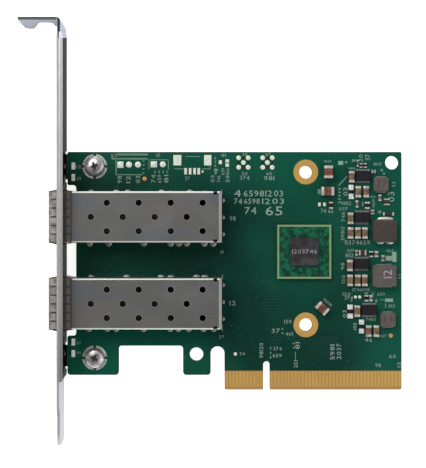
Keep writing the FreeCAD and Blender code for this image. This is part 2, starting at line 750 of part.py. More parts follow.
def make_spring_collar(port):
    """Grounding collar round the cage mouth: two bands joined by bowed fingers on all sides."""
    body = new_body(f"{port}_spring_collar")
    half = "cage_width / 2"
    band = [
        box_outline(f"-{half} - spring_sheet", "-spring_sheet", f"{half} + spring_sheet",
                    "cage_height + spring_sheet"),
        box_outline(f"-{half}", "0", half, "cage_height"),
    ]
    front_end = "cage_front_x + collar_band"
    rear_start = "collar_rear_x - collar_band"

    def bow(level, sign):
        """Side view of one finger, bowed outwards from a wall at the given level."""
        stations = [(front_end, "0"), ("bulge_front_x", "spring_bulge - spring_sheet"),
                    ("bulge_rear_x", "spring_bulge - spring_sheet"), (rear_start, "0")]
        inside = [(x, f"{level} {sign} ({rise})") for x, rise in stations]
        outside = [(x, f"{level} {sign} ({rise} + spring_sheet)") for x, rise in reversed(stations)]
        return inside + outside

    across = "-((fingers_across - 1) * finger_pitch + finger_width) / 2"
    lowest = "(cage_height - (fingers_up - 1) * finger_pitch - finger_width) / 2"
    walls = [
        ("top", "XZ_Plane", bow("cage_height", "+"), across, "Y", "fingers_across"),
        ("bottom", "XZ_Plane", bow("0", "-"), across, "Y", "fingers_across"),
        ("left", "XY_Plane", bow(half, "+"), lowest, "Z", "fingers_up"),
        ("right", "XY_Plane", bow(f"-{half}", "-"), lowest, "Z", "fingers_up"),
    ]
    pad(body, f"{port}_front_band", "YZ_Plane", band, "cage_front_x", front_end)
    fingers = [pad(body, f"{port}_{side}_finger", plane, [profile], start, f"{start} + finger_width")
               for side, plane, profile, start, _, _ in walls]
    pad(body, f"{port}_rear_band", "YZ_Plane", band, rear_start, "collar_rear_x")
    for finger, (side, _, _, _, axis, count) in zip(fingers, walls):
        repeat(body, f"{port}_{side}_fingers", finger, [(axis, count, "finger_pitch")])
    move(body, y=f"{port}_port_y")
    return body


def make_port_connector(port):
    """Moulded receptacle with a stepped nose, a bevelled card slot and a slit for its contacts."""
    body = new_body(f"{port}_port_connector")
    half = "housing_width / 2"
    profile = [
        ("housing_front_x", "0"), ("housing_rear_x", "0"), ("housing_rear_x", "housing_height"),
        ("housing_nose_x", "housing_height"), ("housing_nose_x", "housing_nose_height"),
        ("housing_front_x", "housing_nose_height"),
    ]
    pad(body, f"{port}_housing", "XZ_Plane", [profile], f"-{half}", half)
    slot = [
        ("housing_front_x", "card_slot_low - card_slot_bevel"),
        ("housing_front_x + card_slot_bevel", "card_slot_low"),
        ("housing_front_x + card_slot_depth", "card_slot_low"),
        ("housing_front_x + card_slot_depth", "card_slot_high"),
        ("housing_front_x + card_slot_bevel", "card_slot_high"),
        ("housing_front_x", "card_slot_high + card_slot_bevel"),
    ]
    pocket(body, f"{port}_card_slot", "XZ_Plane", [slot], "-card_slot_width / 2",
           "card_slot_width / 2")
    pocket(body, f"{port}_contact_slit", "YZ_Plane",
           [box_outline("-card_slot_width / 2", "card_slot_high - port_contact_sheet",
                        "card_slot_width / 2", "card_slot_high")],
           "housing_front_x + card_slot_depth", "housing_rear_x")
    move(body, y=f"{port}_port_y")
    return body


def make_port_contacts(port):
    """Twenty sprung contacts: ten down the nose to the board and ten out through the back."""
    body = new_body(f"{port}_port_contacts", several=True)
    thick = "port_contact_sheet"
    first = "-(port_contacts_in_row - 1) * port_contact_pitch / 2"
    low = f"{first} - port_contact_width / 2"
    high = f"{first} + port_contact_width / 2"
    front = [
        (f"housing_front_x - {thick} - port_contact_foot", "0"), ("housing_front_x", "0"),
        ("housing_front_x", "card_slot_low - card_slot_bevel"),
        (f"housing_front_x - {thick}", "card_slot_low - card_slot_bevel"),
        (f"housing_front_x - {thick}", thick),
        (f"housing_front_x - {thick} - port_contact_foot", thick),
    ]
    rear = [
        ("housing_front_x + card_slot_bevel", f"card_slot_high - {thick}"),
        ("housing_rear_x", f"card_slot_high - {thick}"), ("housing_rear_x", "0"),
        (f"housing_rear_x + port_contact_foot", "0"), (f"housing_rear_x + port_contact_foot", thick),
        (f"housing_rear_x + {thick}", thick), (f"housing_rear_x + {thick}", "card_slot_high"),
        ("housing_front_x + card_slot_bevel", "card_slot_high"),
    ]
    for name, profile in (("front", front), ("rear", rear)):
        contact = pad(body, f"{port}_{name}_contact", "XZ_Plane", [profile], low, high)
        repeat(body, f"{port}_{name}_contacts", contact,
               [("Y", "port_contacts_in_row", "port_contact_pitch")])
    move(body, y=f"{port}_port_y")
    return body


# ------------------------------------------------------------------ network processor

def make_chip():
    """Flip-chip package: solder balls, square substrate and the bare die on top."""
    levels = [
        ("chip_substrate", "chip_side", "chip_standoff", "chip_standoff + substrate_thickness"),
        ("chip_die", "die_side", "chip_standoff + substrate_thickness",
         "chip_standoff + substrate_thickness + die_thickness"),
    ]
    made = []
    for name, side, low, high in levels:
        body = new_body(name)
        block(body, f"{name}_block", (f"-{side} / 2", f"-{side} / 2", low),
              (f"{side} / 2", f"{side} / 2", high))
        made.append(body)
    balls = new_body("chip_solder_balls", several=True)
    first = "-(balls_in_row - 1) * ball_pitch / 2"
    ball = block(balls, "corner_ball",
                 (f"{first} - ball_side / 2", f"{first} - ball_side / 2", "0"),
                 (f"{first} + ball_side / 2", f"{first} + ball_side / 2", "chip_standoff"))
    repeat(balls, "ball_grid", ball,
           [("X", "balls_in_row", "ball_pitch"), ("Y", "balls_in_row", "ball_pitch")])
    made.append(balls)
    for body in made:
        move(body, "chip_x", "chip_y")
    return made


def make_decouplers():
    """Small capacitors on the solder side, in a grid behind the processor."""
    body = new_body("decoupling_capacitors", several=True)
    first = "-(decouplers_in_row - 1) * decoupler_pitch / 2"
    top = "-board_thickness"
    piece = block(body, "corner_decoupler",
                  (f"{first} - decoupler_length / 2", f"{first} - decoupler_width / 2",
                   f"{top} - decoupler_height"),
                  (f"{first} + decoupler_length / 2", f"{first} + decoupler_width / 2", top))
    repeat(body, "decoupler_grid", piece,
           [("X", "decouplers_in_row", "decoupler_pitch"),
            ("Y", "decouplers_in_row", "decoupler_pitch")])
    move(body, "chip_x", "chip_y")
    return body


# ------------------------------------------------------------------ power supply parts

def make_regulator(number, x, y):
    """Moulded converter and its two rows of bent leads, as two nodes."""
    name = f"regulator_{number}"
    body = new_body(name)
    half_length = "regulator_length / 2"
    half_width = "regulator_width / 2"
    block(body, f"{name}_block", (f"-{half_length}", f"-{half_width}", "regulator_lead_sheet"),
          (half_length, half_width, "regulator_lead_sheet + regulator_height"))
    chamfer(body, f"{name}_bevel", "regulator_bevel",
            [{"z": "regulator_lead_sheet + regulator_height"}])
    move(body, str(x), str(y))

    leads = new_body(f"{name}_leads", several=True)
    start = "-(regulator_lead_count - 1) * regulator_lead_pitch / 2"
    for side, sign in (("upper", ""), ("lower", "-")):
        profile = [
            (f"{sign}({half_width})", "regulator_shoulder_z - regulator_lead_sheet"),
            (f"{sign}({half_width} + regulator_lead_reach - regulator_lead_foot)", "0"),
            (f"{sign}({half_width} + regulator_lead_reach)", "0"),
            (f"{sign}({half_width} + regulator_lead_reach)", "regulator_lead_sheet"),
            (f"{sign}({half_width})", "regulator_shoulder_z"),
        ]
        lead = pad(leads, f"{name}_{side}_lead", "YZ_Plane", [profile],
                   f"{start} - regulator_lead_width / 2", f"{start} + regulator_lead_width / 2")
        repeat(leads, f"{name}_{side}_leads", lead,
               [("X", "regulator_lead_count", "regulator_lead_pitch")])
    move(leads, str(x), str(y))
    return [body, leads]


def make_inductor(number, kind, x, y):
    """Pressed power inductor with cut corners, and its two bent end terminals."""
    name = f"inductor_{number}"
    body = new_body(name)
    half_length = f"{kind}_inductor_length / 2"
    half_width = f"{kind}_inductor_width / 2"
    block(body, f"{name}_core", (f"-{half_length}", f"-{half_width}", "terminal_sheet"),
          (half_length, half_width, f"{kind}_inductor_height"))
    corners = [{"x": f"{a}{half_length}", "y": f"{b}{half_width}"} for a in ("", "-")
               for b in ("", "-")]
    chamfer(body, f"{name}_corners", "inductor_corner", corners)
    chamfer(body, f"{name}_bevel", "inductor_corner / 2", [{"z": f"{kind}_inductor_height"}])
    move(body, str(x), str(y))

    terminals = new_body(f"{name}_terminals", several=True)
    for side, sign in (("upper", ""), ("lower", "-")):
        profile = [
            (f"{sign}({half_width} - 1)", "0"), (f"{sign}({half_width} + terminal_sheet)", "0"),
            (f"{sign}({half_width} + terminal_sheet)", "terminal_rise"),
            (f"{sign}({half_width})", "terminal_rise"), (f"{sign}({half_width})", "terminal_sheet"),
            (f"{sign}({half_width} - 1)", "terminal_sheet"),
        ]
        pad(terminals, f"{name}_{side}_terminal", "YZ_Plane", [profile],
            f"-{kind}_terminal_width / 2", f"{kind}_terminal_width / 2")
    move(terminals, str(x), str(y))
    return [body, terminals]


def make_chip_part(name, kind, x, y, turn):
    """Chip capacitor or resistor: a bare middle between two slightly proud metal end caps."""
    body = new_body(name)
    half_length = f"{kind}_length / 2"
    half_width = f"{kind}_width / 2"
    top = f"{kind}_height"
    inset = f"({kind}_length / 2 - {kind}_length * end_cap_share)"
    block(body, f"{name}_middle", (f"-{inset}", f"end_cap_step - {half_width}", "end_cap_step"),
          (inset, f"{half_width} - end_cap_step", f"{top} - end_cap_step"))
    block(body, f"{name}_left_cap", (f"-{half_length}", f"-{half_width}", "0"),
          (f"-{inset}", half_width, top))
    block(body, f"{name}_right_cap", (inset, f"-{half_width}", "0"), (half_length, half_width, top))
    move(body, str(x), str(y), turn=turn)
    return body


def make_lights(port, sign):
    """Two status lights on the board's left edge, behind the holes in the bracket."""
    body = new_body(f"{port}_port_lights", several=True)
    nearest = f"{sign}inner_light_offset"
    if sign == "-":
        nearest = "-outer_light_offset"
    light = block(body, f"{port}_light",
                  ("light_x - light_length / 2", f"{nearest} - light_width / 2", "0"),
                  ("light_x + light_length / 2", f"{nearest} + light_width / 2", "light_height"))
    repeat(body, f"{port}_lights", light, [("Y", "2", "outer_light_offset - inner_light_offset")])
    move(body, y=f"{port}_port_y")
    return body


# ------------------------------------------------------------------ build, check, write

def make_card():
    parts = [make_board(), *make_plating(), *make_edge_contacts(), make_bracket(), *make_screws()]
    for port, sign in (("upper", ""), ("lower", "-")):
        parts += [make_cage_shell(port), make_cage_base(port), make_spring_collar(port),
                  make_port_connector(port), make_port_contacts(port), make_lights(port, sign)]
    parts += [*make_chip(), make_decouplers()]
    for number, (x, y) in enumerate(REGULATORS, start=1):
        parts += make_regulator(number, x, y)
    inductors = [("small", place) for place in SMALL_INDUCTORS]
    inductors += [("large", place) for place in LARGE_INDUCTORS]
    for number, (kind, (x, y)) in enumerate(inductors, start=1):
        parts += make_inductor(number, kind, x, y)
    for number, (x, y, turn) in enumerate(BIG_CAPACITORS, start=1):
        parts.append(make_chip_part(f"big_capacitor_{number}", "big_capacitor", x, y, turn))
    for number, (x, y, turn) in enumerate(CAPACITORS, start=1):
        parts.append(make_chip_part(f"capacitor_{number}", "capacitor", x, y, turn))
    parts.append(make_chip_part("resistor", "resistor", *RESISTOR))
    return parts


def check(parts):
    """Stop on any failed object or bad shape before a file is written."""
    doc.recompute()
    for item in doc.Objects:
        if {"Invalid", "Error"} & set(item.State):
            raise ValueError(f"{item.Name} did not compute: {item.State}")
    for body in parts:
        if body.Shape.isNull() or not body.Shape.isValid():
            raise ValueError(f"{body.Label} has no valid shape")


def write(parts):
    os.makedirs("parts", exist_ok=True)
    for body in parts:
        body.Shape.exportStep(f"parts/{body.Label}.step")
        print(f"{body.Label}: {len(body.Shape.Solids)} solids, {body.Shape.Volume:.2f} mm3")


fill_sheet()
card = make_card()
check(card)
write(card)
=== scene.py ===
"""Looks for a low-profile network card, laid out as a Blender add-on around a fixed CAD frame.

The frame's solids give every size and place. This file dresses them: it adds the finishes, the
printed marks, bare pads, solder, rounded chip parts and screws, and the studio they stand in.
Named sizes and tables are in millimetres, and what Blender is given is in metres. +X runs away
from the bracket, +Y up the card and +Z out of its face, which lies at Z = 0.
"""

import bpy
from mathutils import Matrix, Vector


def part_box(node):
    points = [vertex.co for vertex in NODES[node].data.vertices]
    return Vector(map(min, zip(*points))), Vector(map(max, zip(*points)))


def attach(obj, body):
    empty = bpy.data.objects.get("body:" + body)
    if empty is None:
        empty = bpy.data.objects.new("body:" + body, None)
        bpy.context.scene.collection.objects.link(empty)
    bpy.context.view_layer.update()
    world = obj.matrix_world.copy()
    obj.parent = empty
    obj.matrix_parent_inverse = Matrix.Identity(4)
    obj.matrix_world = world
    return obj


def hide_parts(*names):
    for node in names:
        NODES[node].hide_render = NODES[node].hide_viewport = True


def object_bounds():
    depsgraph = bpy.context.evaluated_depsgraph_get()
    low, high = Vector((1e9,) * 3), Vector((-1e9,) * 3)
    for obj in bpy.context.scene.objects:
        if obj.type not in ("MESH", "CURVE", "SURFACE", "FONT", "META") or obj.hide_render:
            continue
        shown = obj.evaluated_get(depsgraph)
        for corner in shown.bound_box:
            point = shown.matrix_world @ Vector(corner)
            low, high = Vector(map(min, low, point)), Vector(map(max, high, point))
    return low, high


bl_info = {
    "name": "Network Card Looks",
    "version": (1, 0, 0),
    "blender": (4, 5, 0),
    "location": "View3D > Sidebar > Network Card",
    "description": "Finishes, marks, solder and small parts for a network card",
    "category": "Object",
}

import contextlib
import itertools
import math

import bpy
from mathutils import Matrix, Vector

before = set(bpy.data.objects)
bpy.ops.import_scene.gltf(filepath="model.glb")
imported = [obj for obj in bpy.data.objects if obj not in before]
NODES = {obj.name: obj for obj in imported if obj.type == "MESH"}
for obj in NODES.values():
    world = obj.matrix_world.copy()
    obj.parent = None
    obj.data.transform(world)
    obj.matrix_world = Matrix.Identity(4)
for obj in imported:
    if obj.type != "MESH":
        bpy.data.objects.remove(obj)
CAD_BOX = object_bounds()

MM = 0.001
BODY = "root"
PORTS = ("upper", "lower")
# Height of the board's solder side.
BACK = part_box("circuit_board")[0].z / MM
# Thickness of printed marks.
SKIN = 0.02
# The bracket's box ends where its ears do, this far inwards from its sheet.
EAR_REACH = 13.1
BRACKET_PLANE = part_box("bracket")[1].x / MM - EAR_REACH
# Where the bracket's finish and its painted light and shade change: at its leaning top tab, at the
# tip and the bend of the tab's edge, and at the tongue below the board.
TAB_START = 101.7
TAB_LEAN = 0.155
TAB_TIP = -59.05
TAB_BEND = -58.15
TONGUE_START = 4.2
# Top of the part of the board that carries the edge contacts.
CONTACT_TOP = 5.5
# The port cages' vents, as they are cut in the solids, and the width of their bright rims.
VENT_OUTER_X = -45.4
VENT_MIDDLE_X = -49.9
VENT_PITCH = 9.0
VENT_COLUMNS = 4
VENT_ROW_OFFSET = 4.0
VENT_RADIUS = 0.92
VENT_RIM = 0.13

# Small print: middle in millimetres, length and height of the row, and its turn in degrees.
LABELS = [
    (-54.4, 64.6, 1.5, 0.9, 0), (-54.3, 61.2, 1.2, 1.0, 0), (-54.3, 13.6, 1.3, 0.9, 0),
    (-54.3, 10.8, 1.3, 0.9, 0), (-44.6, 67.7, 0.9, 0.9, 0), (-42.5, 60.9, 2.1, 1.2, 90),
    (-40.0, 60.9, 2.1, 1.2, 90), (-37.2, 60.9, 2.1, 1.2, 90), (-32.7, 61.1, 2.3, 1.2, 90),
    (-31.0, 61.1, 2.3, 1.1, 90), (-29.0, 61.1, 2.3, 1.2, 90), (-31.4, 67.9, 1.2, 0.9, 30),
    (-22.9, 61.25, 1.4, 1.0, 0), (-14.6, 63.3, 1.5, 1.3, 90), (-12.6, 63.2, 1.9, 0.9, 90),
    (-11.2, 63.2, 1.9, 0.75, 90), (-15.6, 61.1, 2.0, 1.0, 90), (-13.8, 61.1, 1.9, 0.9, 90),
    (-11.2, 61.1, 2.0, 1.1, 90), (-12.4, 67.9, 1.3, 0.9, 0), (-6.3, 62.6, 1.7, 0.85, 0),
    (-6.3, 61.4, 2.8, 1.1, 0), (0.8, 62.6, 1.6, 0.85, 0), (0.8, 61.3, 3.0, 1.2, 0),
    (-6.3, 68.2, 1.4, 0.9, 0), (0.5, 68.2, 1.7, 0.9, 20), (-8.4, 56.9, 1.9, 2.0, 0),
    (-2.5, 56.85, 8.2, 1.7, 0), (3.5, 56.85, 2.6, 1.7, 0), (-8.2, 54.6, 2.3, 1.6, 0),
    (-4.2, 54.6, 4.5, 1.5, 0), (-0.1, 54.6, 2.3, 1.6, 0), (2.5, 54.6, 1.6, 1.6, 0),
    (4.5, 54.6, 1.2, 1.6, 0), (-4.6, 51.9, 3.4, 2.0, 0), (2.2, 51.8, 4.9, 2.6, 0),
    (-9.8, 49.6, 1.7, 1.3, 0), (-9.8, 25.1, 1.8, 1.3, 0), (-12.9, 39.9, 1.0, 0.9, 30),
    (-13.0, 15.3, 1.5, 0.9, 0), (17.7, 66.2, 2.1, 0.7, 0), (25.4, 66.4, 1.3, 0.7, 0),
    (27.3, 67.1, 2.1, 1.1, 90), (29.3, 67.3, 1.7, 1.4, 90), (32.1, 65.4, 2.4, 0.9, 0),
    (24.7, 64.15, 2.1, 0.6, 0), (22.9, 57.4, 2.3, 1.3, 90), (16.5, 51.8, 1.5, 1.2, 0),
    (18.6, 51.7, 1.45, 1.1, 0), (23.1, 54.0, 2.9, 1.0, 0), (22.3, 52.4, 2.5, 0.9, 0),
    (31.0, 54.0, 2.3, 0.8, 90), (30.8, 55.9, 1.6, 0.6, 0), (36.1, 55.9, 2.9, 1.9, 90),
    (22.3, 50.1, 2.7, 1.1, 90), (22.1, 45.3, 4.0, 1.0, 90), (26.3, 42.7, 7.2, 1.3, 0),
    (24.0, 38.9, 2.3, 1.1, 0), (24.4, 40.3, 2.0, 0.9, 0), (35.8, 40.3, 2.2, 0.9, 0),
    (22.1, 35.8, 2.0, 1.0, 90), (22.3, 32.0, 2.3, 1.0, 90), (27.3, 29.0, 5.0, 0.9, 0),
    (23.2, 27.7, 2.3, 0.9, 0), (23.8, 26.6, 2.4, 1.0, 0), (33.2, 27.7, 2.1, 0.9, 0),
    (36.3, 24.3, 1.9, 0.9, 0), (22.7, 22.0, 2.1, 1.15, 90), (30.2, 20.4, 2.8, 0.9, 0),
    (25.65, 18.6, 1.5, 1.0, 90), (33.3, 15.6, 2.7, 0.7, 0), (29.6, 14.5, 2.1, 1.2, 0),
    (19.1, 10.9, 4.4, 1.3, 90), (21.0, 11.1, 4.6, 1.3, 90), (17.7, 25.4, 3.0, 0.8, -42),
    (6.2, 19.8, 2.1, 1.0, 0), (2.7, 17.1, 2.4, 1.2, 0), (6.7, 16.2, 2.2, 1.0, 0),
    (-1.5, 11.4, 4.3, 1.1, 90), (3.2, 11.9, 2.4, 1.0, 0), (3.1, 9.9, 2.6, 1.0, 0),
    (9.0, 12.8, 2.0, 1.3, 90), (8.5, 7.5, 2.3, 1.1, 90), (-7.0, 10.4, 1.5, 0.9, 0),
    (36.5, 9.7, 1.9, 1.0, 0), (32.3, 7.1, 1.6, 1.0, 0), (38.4, 7.3, 1.6, 0.9, 90),
]
# Printed lines: two ends in millimetres and a width.
LINES = [
    (-43.6, 68.15, -34.6, 68.15, 0.55), (-44.6, 66.9, -34.6, 66.9, 0.45),
    (-43.55, 62.4, -43.55, 68.1, 0.32), (-43.6, 62.3, -36.1, 62.3, 0.28),
    (-34.0, 66.6, -28.4, 66.6, 0.25), (-34.0, 63.9, -34.0, 66.6, 0.2),
    (-28.4, 63.9, -28.4, 66.6, 0.25), (-26.5, 64.0, -24.1, 64.0, 0.25),
    (-18.4, 64.0, -16.3, 64.0, 0.25), (-16.3, 64.0, -16.3, 65.0, 0.2),
    (-23.3, 67.55, -19.4, 67.55, 0.22), (-12.7, 32.2, -12.7, 33.3, 0.2),
    (-12.7, 16.8, -12.7, 18.8, 0.2), (-12.9, 56.8, -12.9, 57.9, 0.2),
    (23.3, 61.8, 21.0, 59.2, 0.35), (8.4, 8.9, 8.4, 10.9, 0.2), (33.0, 26.1, 34.3, 26.0, 0.2),
]
# Rows of printed ticks: first middle, count, pitch, tick size across and up, turn of the row.
TICKS = [
    (-35.6, 62.8, 4, 1.15, 0.5, 0.35, 90), (-32.3, 63.1, 4, 1.2, 0.35, 0.8, 0),
    (-14.8, 62.7, 5, 1.1, 0.4, 0.7, 90), (21.15, 54.3, 5, 0.97, 0.75, 0.42, 90),
    (23.1, 65.9, 1, 1.0, 0.7, 0.6, 0), (33.4, 63.6, 1, 1.0, 0.7, 0.7, 0),
    (34.0, 62.6, 1, 1.0, 0.6, 0.6, 0), (36.8, 59.05, 2, 0.95, 1.0, 0.35, 90),
    (27.9, 53.8, 1, 1.0, 0.4, 1.4, 0), (32.8, 51.5, 1, 1.0, 0.9, 0.8, 0),
    (28.9, 28.0, 1, 1.0, 0.9, 0.5, 0), (24.6, 25.8, 1, 1.0, 0.5, 0.5, 0),
    (30.8, 27.7, 1, 1.0, 0.4, 0.8, 0), (34.5, 24.4, 1, 1.0, 0.3, 1.3, 0),
    (31.8, 25.8, 1, 1.0, 0.6, 0.7, 0), (38.5, 32.4, 2, 0.9, 0.9, 0.35, 90),
    (4.6, 16.4, 2, 1.2, 0.5, 0.4, 90), (7.9, 12.2, 2, 1.2, 0.5, 0.4, 90),
    (25.7, 17.5, 1, 1.0, 0.8, 0.4, 0), (1.2, 9.4, 3, 1.3, 0.35, 0.7, 90),
    (15.3, 57.4, 1, 1.0, 0.9, 1.4, 0),
]
# Bare tinned pads: middle, width and height in millimetres.
PADS = [
    (-25.8, 66.5, 2.3, 3.0), (-17.0, 66.5, 2.1, 3.0), (-23.4, 63.3, 0.75, 1.85),
    (-22.1, 63.3, 0.75, 1.85), (-20.8, 63.3, 0.75, 1.85), (-19.6, 63.3, 0.75, 1.85),
    (-18.5, 63.2, 0.5, 0.6), (15.35, 53.7, 0.75, 1.0), (16.8, 53.7, 0.75, 1.0),
    (-13.35, 65.9, 0.9, 1.1), (-11.35, 66.3, 1.0, 0.9), (-11.35, 65.05, 1.0, 0.9),
]
# Pads that the mask's haze has dulled: middle and size.
DULL_PADS = [
    (21.5, 65.7, 1.45, 1.15), (35.4, 38.1, 1.75, 1.35), (37.0, 38.5, 1.3, 2.9),
    (35.5, 25.95, 2.3, 0.95),
]
# Header pads: middle and size; and round cushions of tin: middle and radius.
SQUARE_HEADER_PADS = [(-42.3, 65.2, 1.75, 1.85), (-32.6, 65.3, 1.8, 1.75)]
DOT_GROUPS = [(-6.67, 65.8), (0.3, 65.8)]
DOT_STEP = 1.38
ROUND_PADS = [
    (-39.8, 65.2, 0.88), (-37.2, 65.2, 0.88), (-30.0, 65.3, 0.88), (25.76, 26.9, 0.45),
    (27.0, 26.9, 0.45), (-9.0, 10.4, 0.5),
] + [(x + dx * DOT_STEP, y + dy * DOT_STEP, 0.68) for x, y in DOT_GROUPS
     for dx, dy in ((0, 0), (1, 1), (-1, 1), (1, -1), (-1, -1))]
COPPER_DOTS = [(36.0, 15.7, 0.6), (-35.25, 61.1, 0.6)]
# Small parts: middle, length, width, turn, kind, and how much of the length is bare body.
SMALL_PARTS = [
    (26.4, 65.6, 2.0, 0.5, 90, "grey", 0.6), (27.4, 64.95, 1.3, 0.9, 90, "dark", 0.5),
    (28.6, 64.95, 1.3, 0.9, 90, "dark", 0.5), (26.2, 53.8, 2.1, 0.8, 90, "grey", 0.5),
    (24.5, 57.3, 4.1, 1.45, 90, "bright", 0.27), (29.2, 53.4, 2.1, 1.45, 90, "dark", 0.5),
    (32.8, 55.6, 1.9, 0.9, 90, "grey", 0.5), (34.8, 54.4, 1.9, 1.7, 90, "brown", 0.6),
    (35.3, 50.9, 3.1, 1.0, 0, "brown", 0.7), (26.0, 39.7, 1.6, 0.7, 90, "grey", 0.5),
    (27.8, 39.7, 2.1, 1.6, 0, "brown", 0.6), (30.3, 39.3, 1.8, 1.1, 90, "dark", 0.5),
    (31.8, 39.3, 1.8, 1.1, 90, "grey", 0.4), (33.7, 38.1, 1.75, 0.9, 90, "grey", 0.5),
    (28.9, 26.55, 1.9, 1.1, 90, "dark", 0.5), (30.2, 26.55, 1.8, 1.0, 90, "grey", 0.4),
    (24.22, 22.7, 4.0, 1.6, 90, "bright", 0.3), (27.5, 18.35, 4.0, 1.5, 90, "bright", 0.3),
    (31.0, 63.2, 1.1, 1.0, 0, "grey", 0.5), (30.7, 51.5, 1.35, 1.05, 90, "grey", 0.5),
]
# Solder joints along the port cages' walls: how far they reach out and their middles, millimetres.
CAGE_JOINTS = {
    ("lower", -1): (1.45, (-51.4, -46.1, -43.5, -35.5, -27.9, -25.5, -22.5, -18.2, -15.2)),
    ("lower", 1): (0.7, (-50.8, -40.5, -30.5, -27.7, -20.2, -17.9)),
    ("upper", -1): (1.3, (-51.2, -45.7, -35.5, -27.7, -25.4, -23.1, -18.0, -15.4)),
    ("upper", 1): (0.85, (-50.8, -43.5, -40.2, -30.4, -22.2)),
}
# The number on the processor: its digits, place from the die's middle, length and height.
CHIP_NUMBER = ("1203746", 0.05, 0.1, 7.2, 1.2)
# Numbers on the inductors: digits, place from the core's middle, turn and height.
CORE_NUMBERS = {
    "inductor_1": [("1", -0.75, -0.1, 0, 2.2), ("1", 0.75, 0.35, 0, 1.5)],
    "inductor_2": [("1", -0.85, 0.3, 0, 1.9), ("1", 0.85, 0.35, 0, 1.6)],
    "inductor_4": [("12", 0.8, 0.5, 90, 2.4)],
}
# Width of a printed digit and its gap, as a share of its height.
DIGIT_SHAPE = 0.8
# Solder along the largest inductor's terminals: middle and half sizes in millimetres.
TERMINAL_SOLDER = [(34.4, 49.55, 2.35, 0.6), (33.0, 42.55, 0.95, 0.4), (35.8, 42.55, 1.05, 0.4)]


# ---------------------------------------------------------------- properties

def colour(name, description, default):
    """A colour in linear light that the user can change."""
    return bpy.props.FloatVectorProperty(
        name=name, description=description, default=default, subtype="COLOR", size=3,
        min=0.0, max=1.0)


def length(name, description, millimetres, least=0.0):
    return bpy.props.FloatProperty(
        name=name, description=description, default=millimetres * MM, unit="LENGTH",
        min=least * MM)


def amount(name, description, default, most, unit="NONE"):
    return bpy.props.FloatProperty(
        name=name, description=description, default=default, min=0.0, max=most, unit=unit)


class BoardLooks(bpy.types.PropertyGroup):
    """Colours of the laminate, its plating and its print."""
    mask: colour("Solder mask", "Green over copper", (0.003, 0.064, 0.038))
    mask_dark: colour("Dark mask", "Green over bare laminate", (0.003, 0.029, 0.019))
    mask_light: colour("Light mask", "Green near the top and the right edge", (0.003, 0.075, 0.046))
    edge: colour("Board edge", "Sawn edge of the laminate", (0.10, 0.13, 0.045))
    laminate: colour("Bare laminate", "Between the edge contacts", (0.40, 0.235, 0.08))
    gold: colour("Gold", "Edge contacts and hole rings", (0.66, 0.39, 0.105))
    tin: colour("Tinned pad", "Bare tinned copper", (0.76, 0.80, 0.68))
    dull_tin: colour("Dulled pad", "Pads under the mask's haze", (0.27, 0.40, 0.31))
    screw_pad: colour("Screw pad", "Split pads under the screws", (0.60, 0.65, 0.58))
    ink: colour("Ink", "Printed numbers", (0.25, 0.34, 0.29))
    line_ink: colour("Line ink", "Printed outlines", (0.13, 0.25, 0.18))


class MetalLooks(bpy.types.PropertyGroup):
    """Colours of the sheet metal, fasteners and solder."""
    bracket: colour("Bracket", "Satin zinc plate", (0.43, 0.415, 0.40))
    cage: colour("Cage", "Dull nickel sheet", (0.125, 0.125, 0.120))
    # Painted highlight along the cage's top folds, where the bent sheet catches the light.
    cage_fold_highlight: colour("Cage folds", "Where the sheet is folded", (0.72, 0.73, 0.68))
    collar: colour("Collar", "Spring sheet", (0.27, 0.25, 0.235))
    screw: colour("Screw", "Bright zinc", (0.66, 0.61, 0.61))
    solder: colour("Solder", "Solder at the cages, and leads", (0.33, 0.34, 0.31))
    bright_solder: colour("Bright solder", "At the largest inductor", (0.82, 0.82, 0.78))
    lead_solder: colour("Lead solder", "Under the regulators' leads", (0.30, 0.285, 0.295))
    ends: colour("Part ends", "Wrapped ends of chip parts", (0.62, 0.57, 0.54))
    bright_ends: colour("Bright ends", "Ends of the brightest chip parts", (0.80, 0.80, 0.78))


class PartLooks(bpy.types.PropertyGroup):
    """Colours of the chips and small parts."""
    package: colour("Package", "Green package laminate", (0.004, 0.105, 0.050))
    package_dark: colour("Package ground", "Dark areas of the package", (0.003, 0.030, 0.018))
    package_rim: colour("Package rim", "Bare rim of the package", (0.20, 0.28, 0.14))
    die: colour("Die", "Back of the silicon", (0.032, 0.030, 0.034))
    die_number: colour("Die number", "Etched on the silicon", (0.23, 0.215, 0.225))
    moulding: colour("Moulding", "Black moulding compound", (0.008, 0.007, 0.010))
    ceramic: colour("Ceramic", "Capacitor middles", (0.150, 0.093, 0.053))
    rust: colour("Large capacitors", "Large capacitor middles", (0.125, 0.052, 0.030))
    grey_body: colour("Grey parts", "Middles of grey small parts", (0.10, 0.10, 0.095))
    brown_body: colour("Brown parts", "Middles of brown small parts", (0.035, 0.022, 0.018))
    ferrite: colour("Ferrite", "Inductor cores", (0.043, 0.034, 0.029))
    pale_ferrite: colour("Pale ferrite", "Paler inductor cores", (0.078, 0.066, 0.061))
    core_ink: colour("Core ink", "Dark numbers on the cores", (0.06, 0.02, 0.025))
    pale_core_ink: colour("Pale core ink", "The pale number on a core", (0.29, 0.23, 0.30))
    corner_radius: length("Part corner", "Rounding of a chip part's edges", 0.12)


class StageLooks(bpy.types.PropertyGroup):
    """Floor, lamps and camera."""
    floor: colour("Floor", "Pale floor", (0.86, 0.86, 0.86))
    camera_height: length("Camera height", "Distance from the board's face", 355.0)
    camera_x: length("Camera X", "Where the camera looks, across", -15.47, -200.0)
    camera_y: length("Camera Y", "Where the camera looks, up the card", 45.12, -200.0)
    lens: amount("Lens", "Focal length in millimetres", 94.3, 300.0, "CAMERA")
    lamp_power: amount("Lamp", "Power of the main softbox, watts", 6.0, 100.0, "POWER")
    sky: amount("Sky", "Strength of the world's light", 0.7, 3.0)


GROUPS = {"card_board": BoardLooks, "card_metal": MetalLooks, "card_parts": PartLooks,
          "card_stage": StageLooks}


# ---------------------------------------------------------------- shader sums

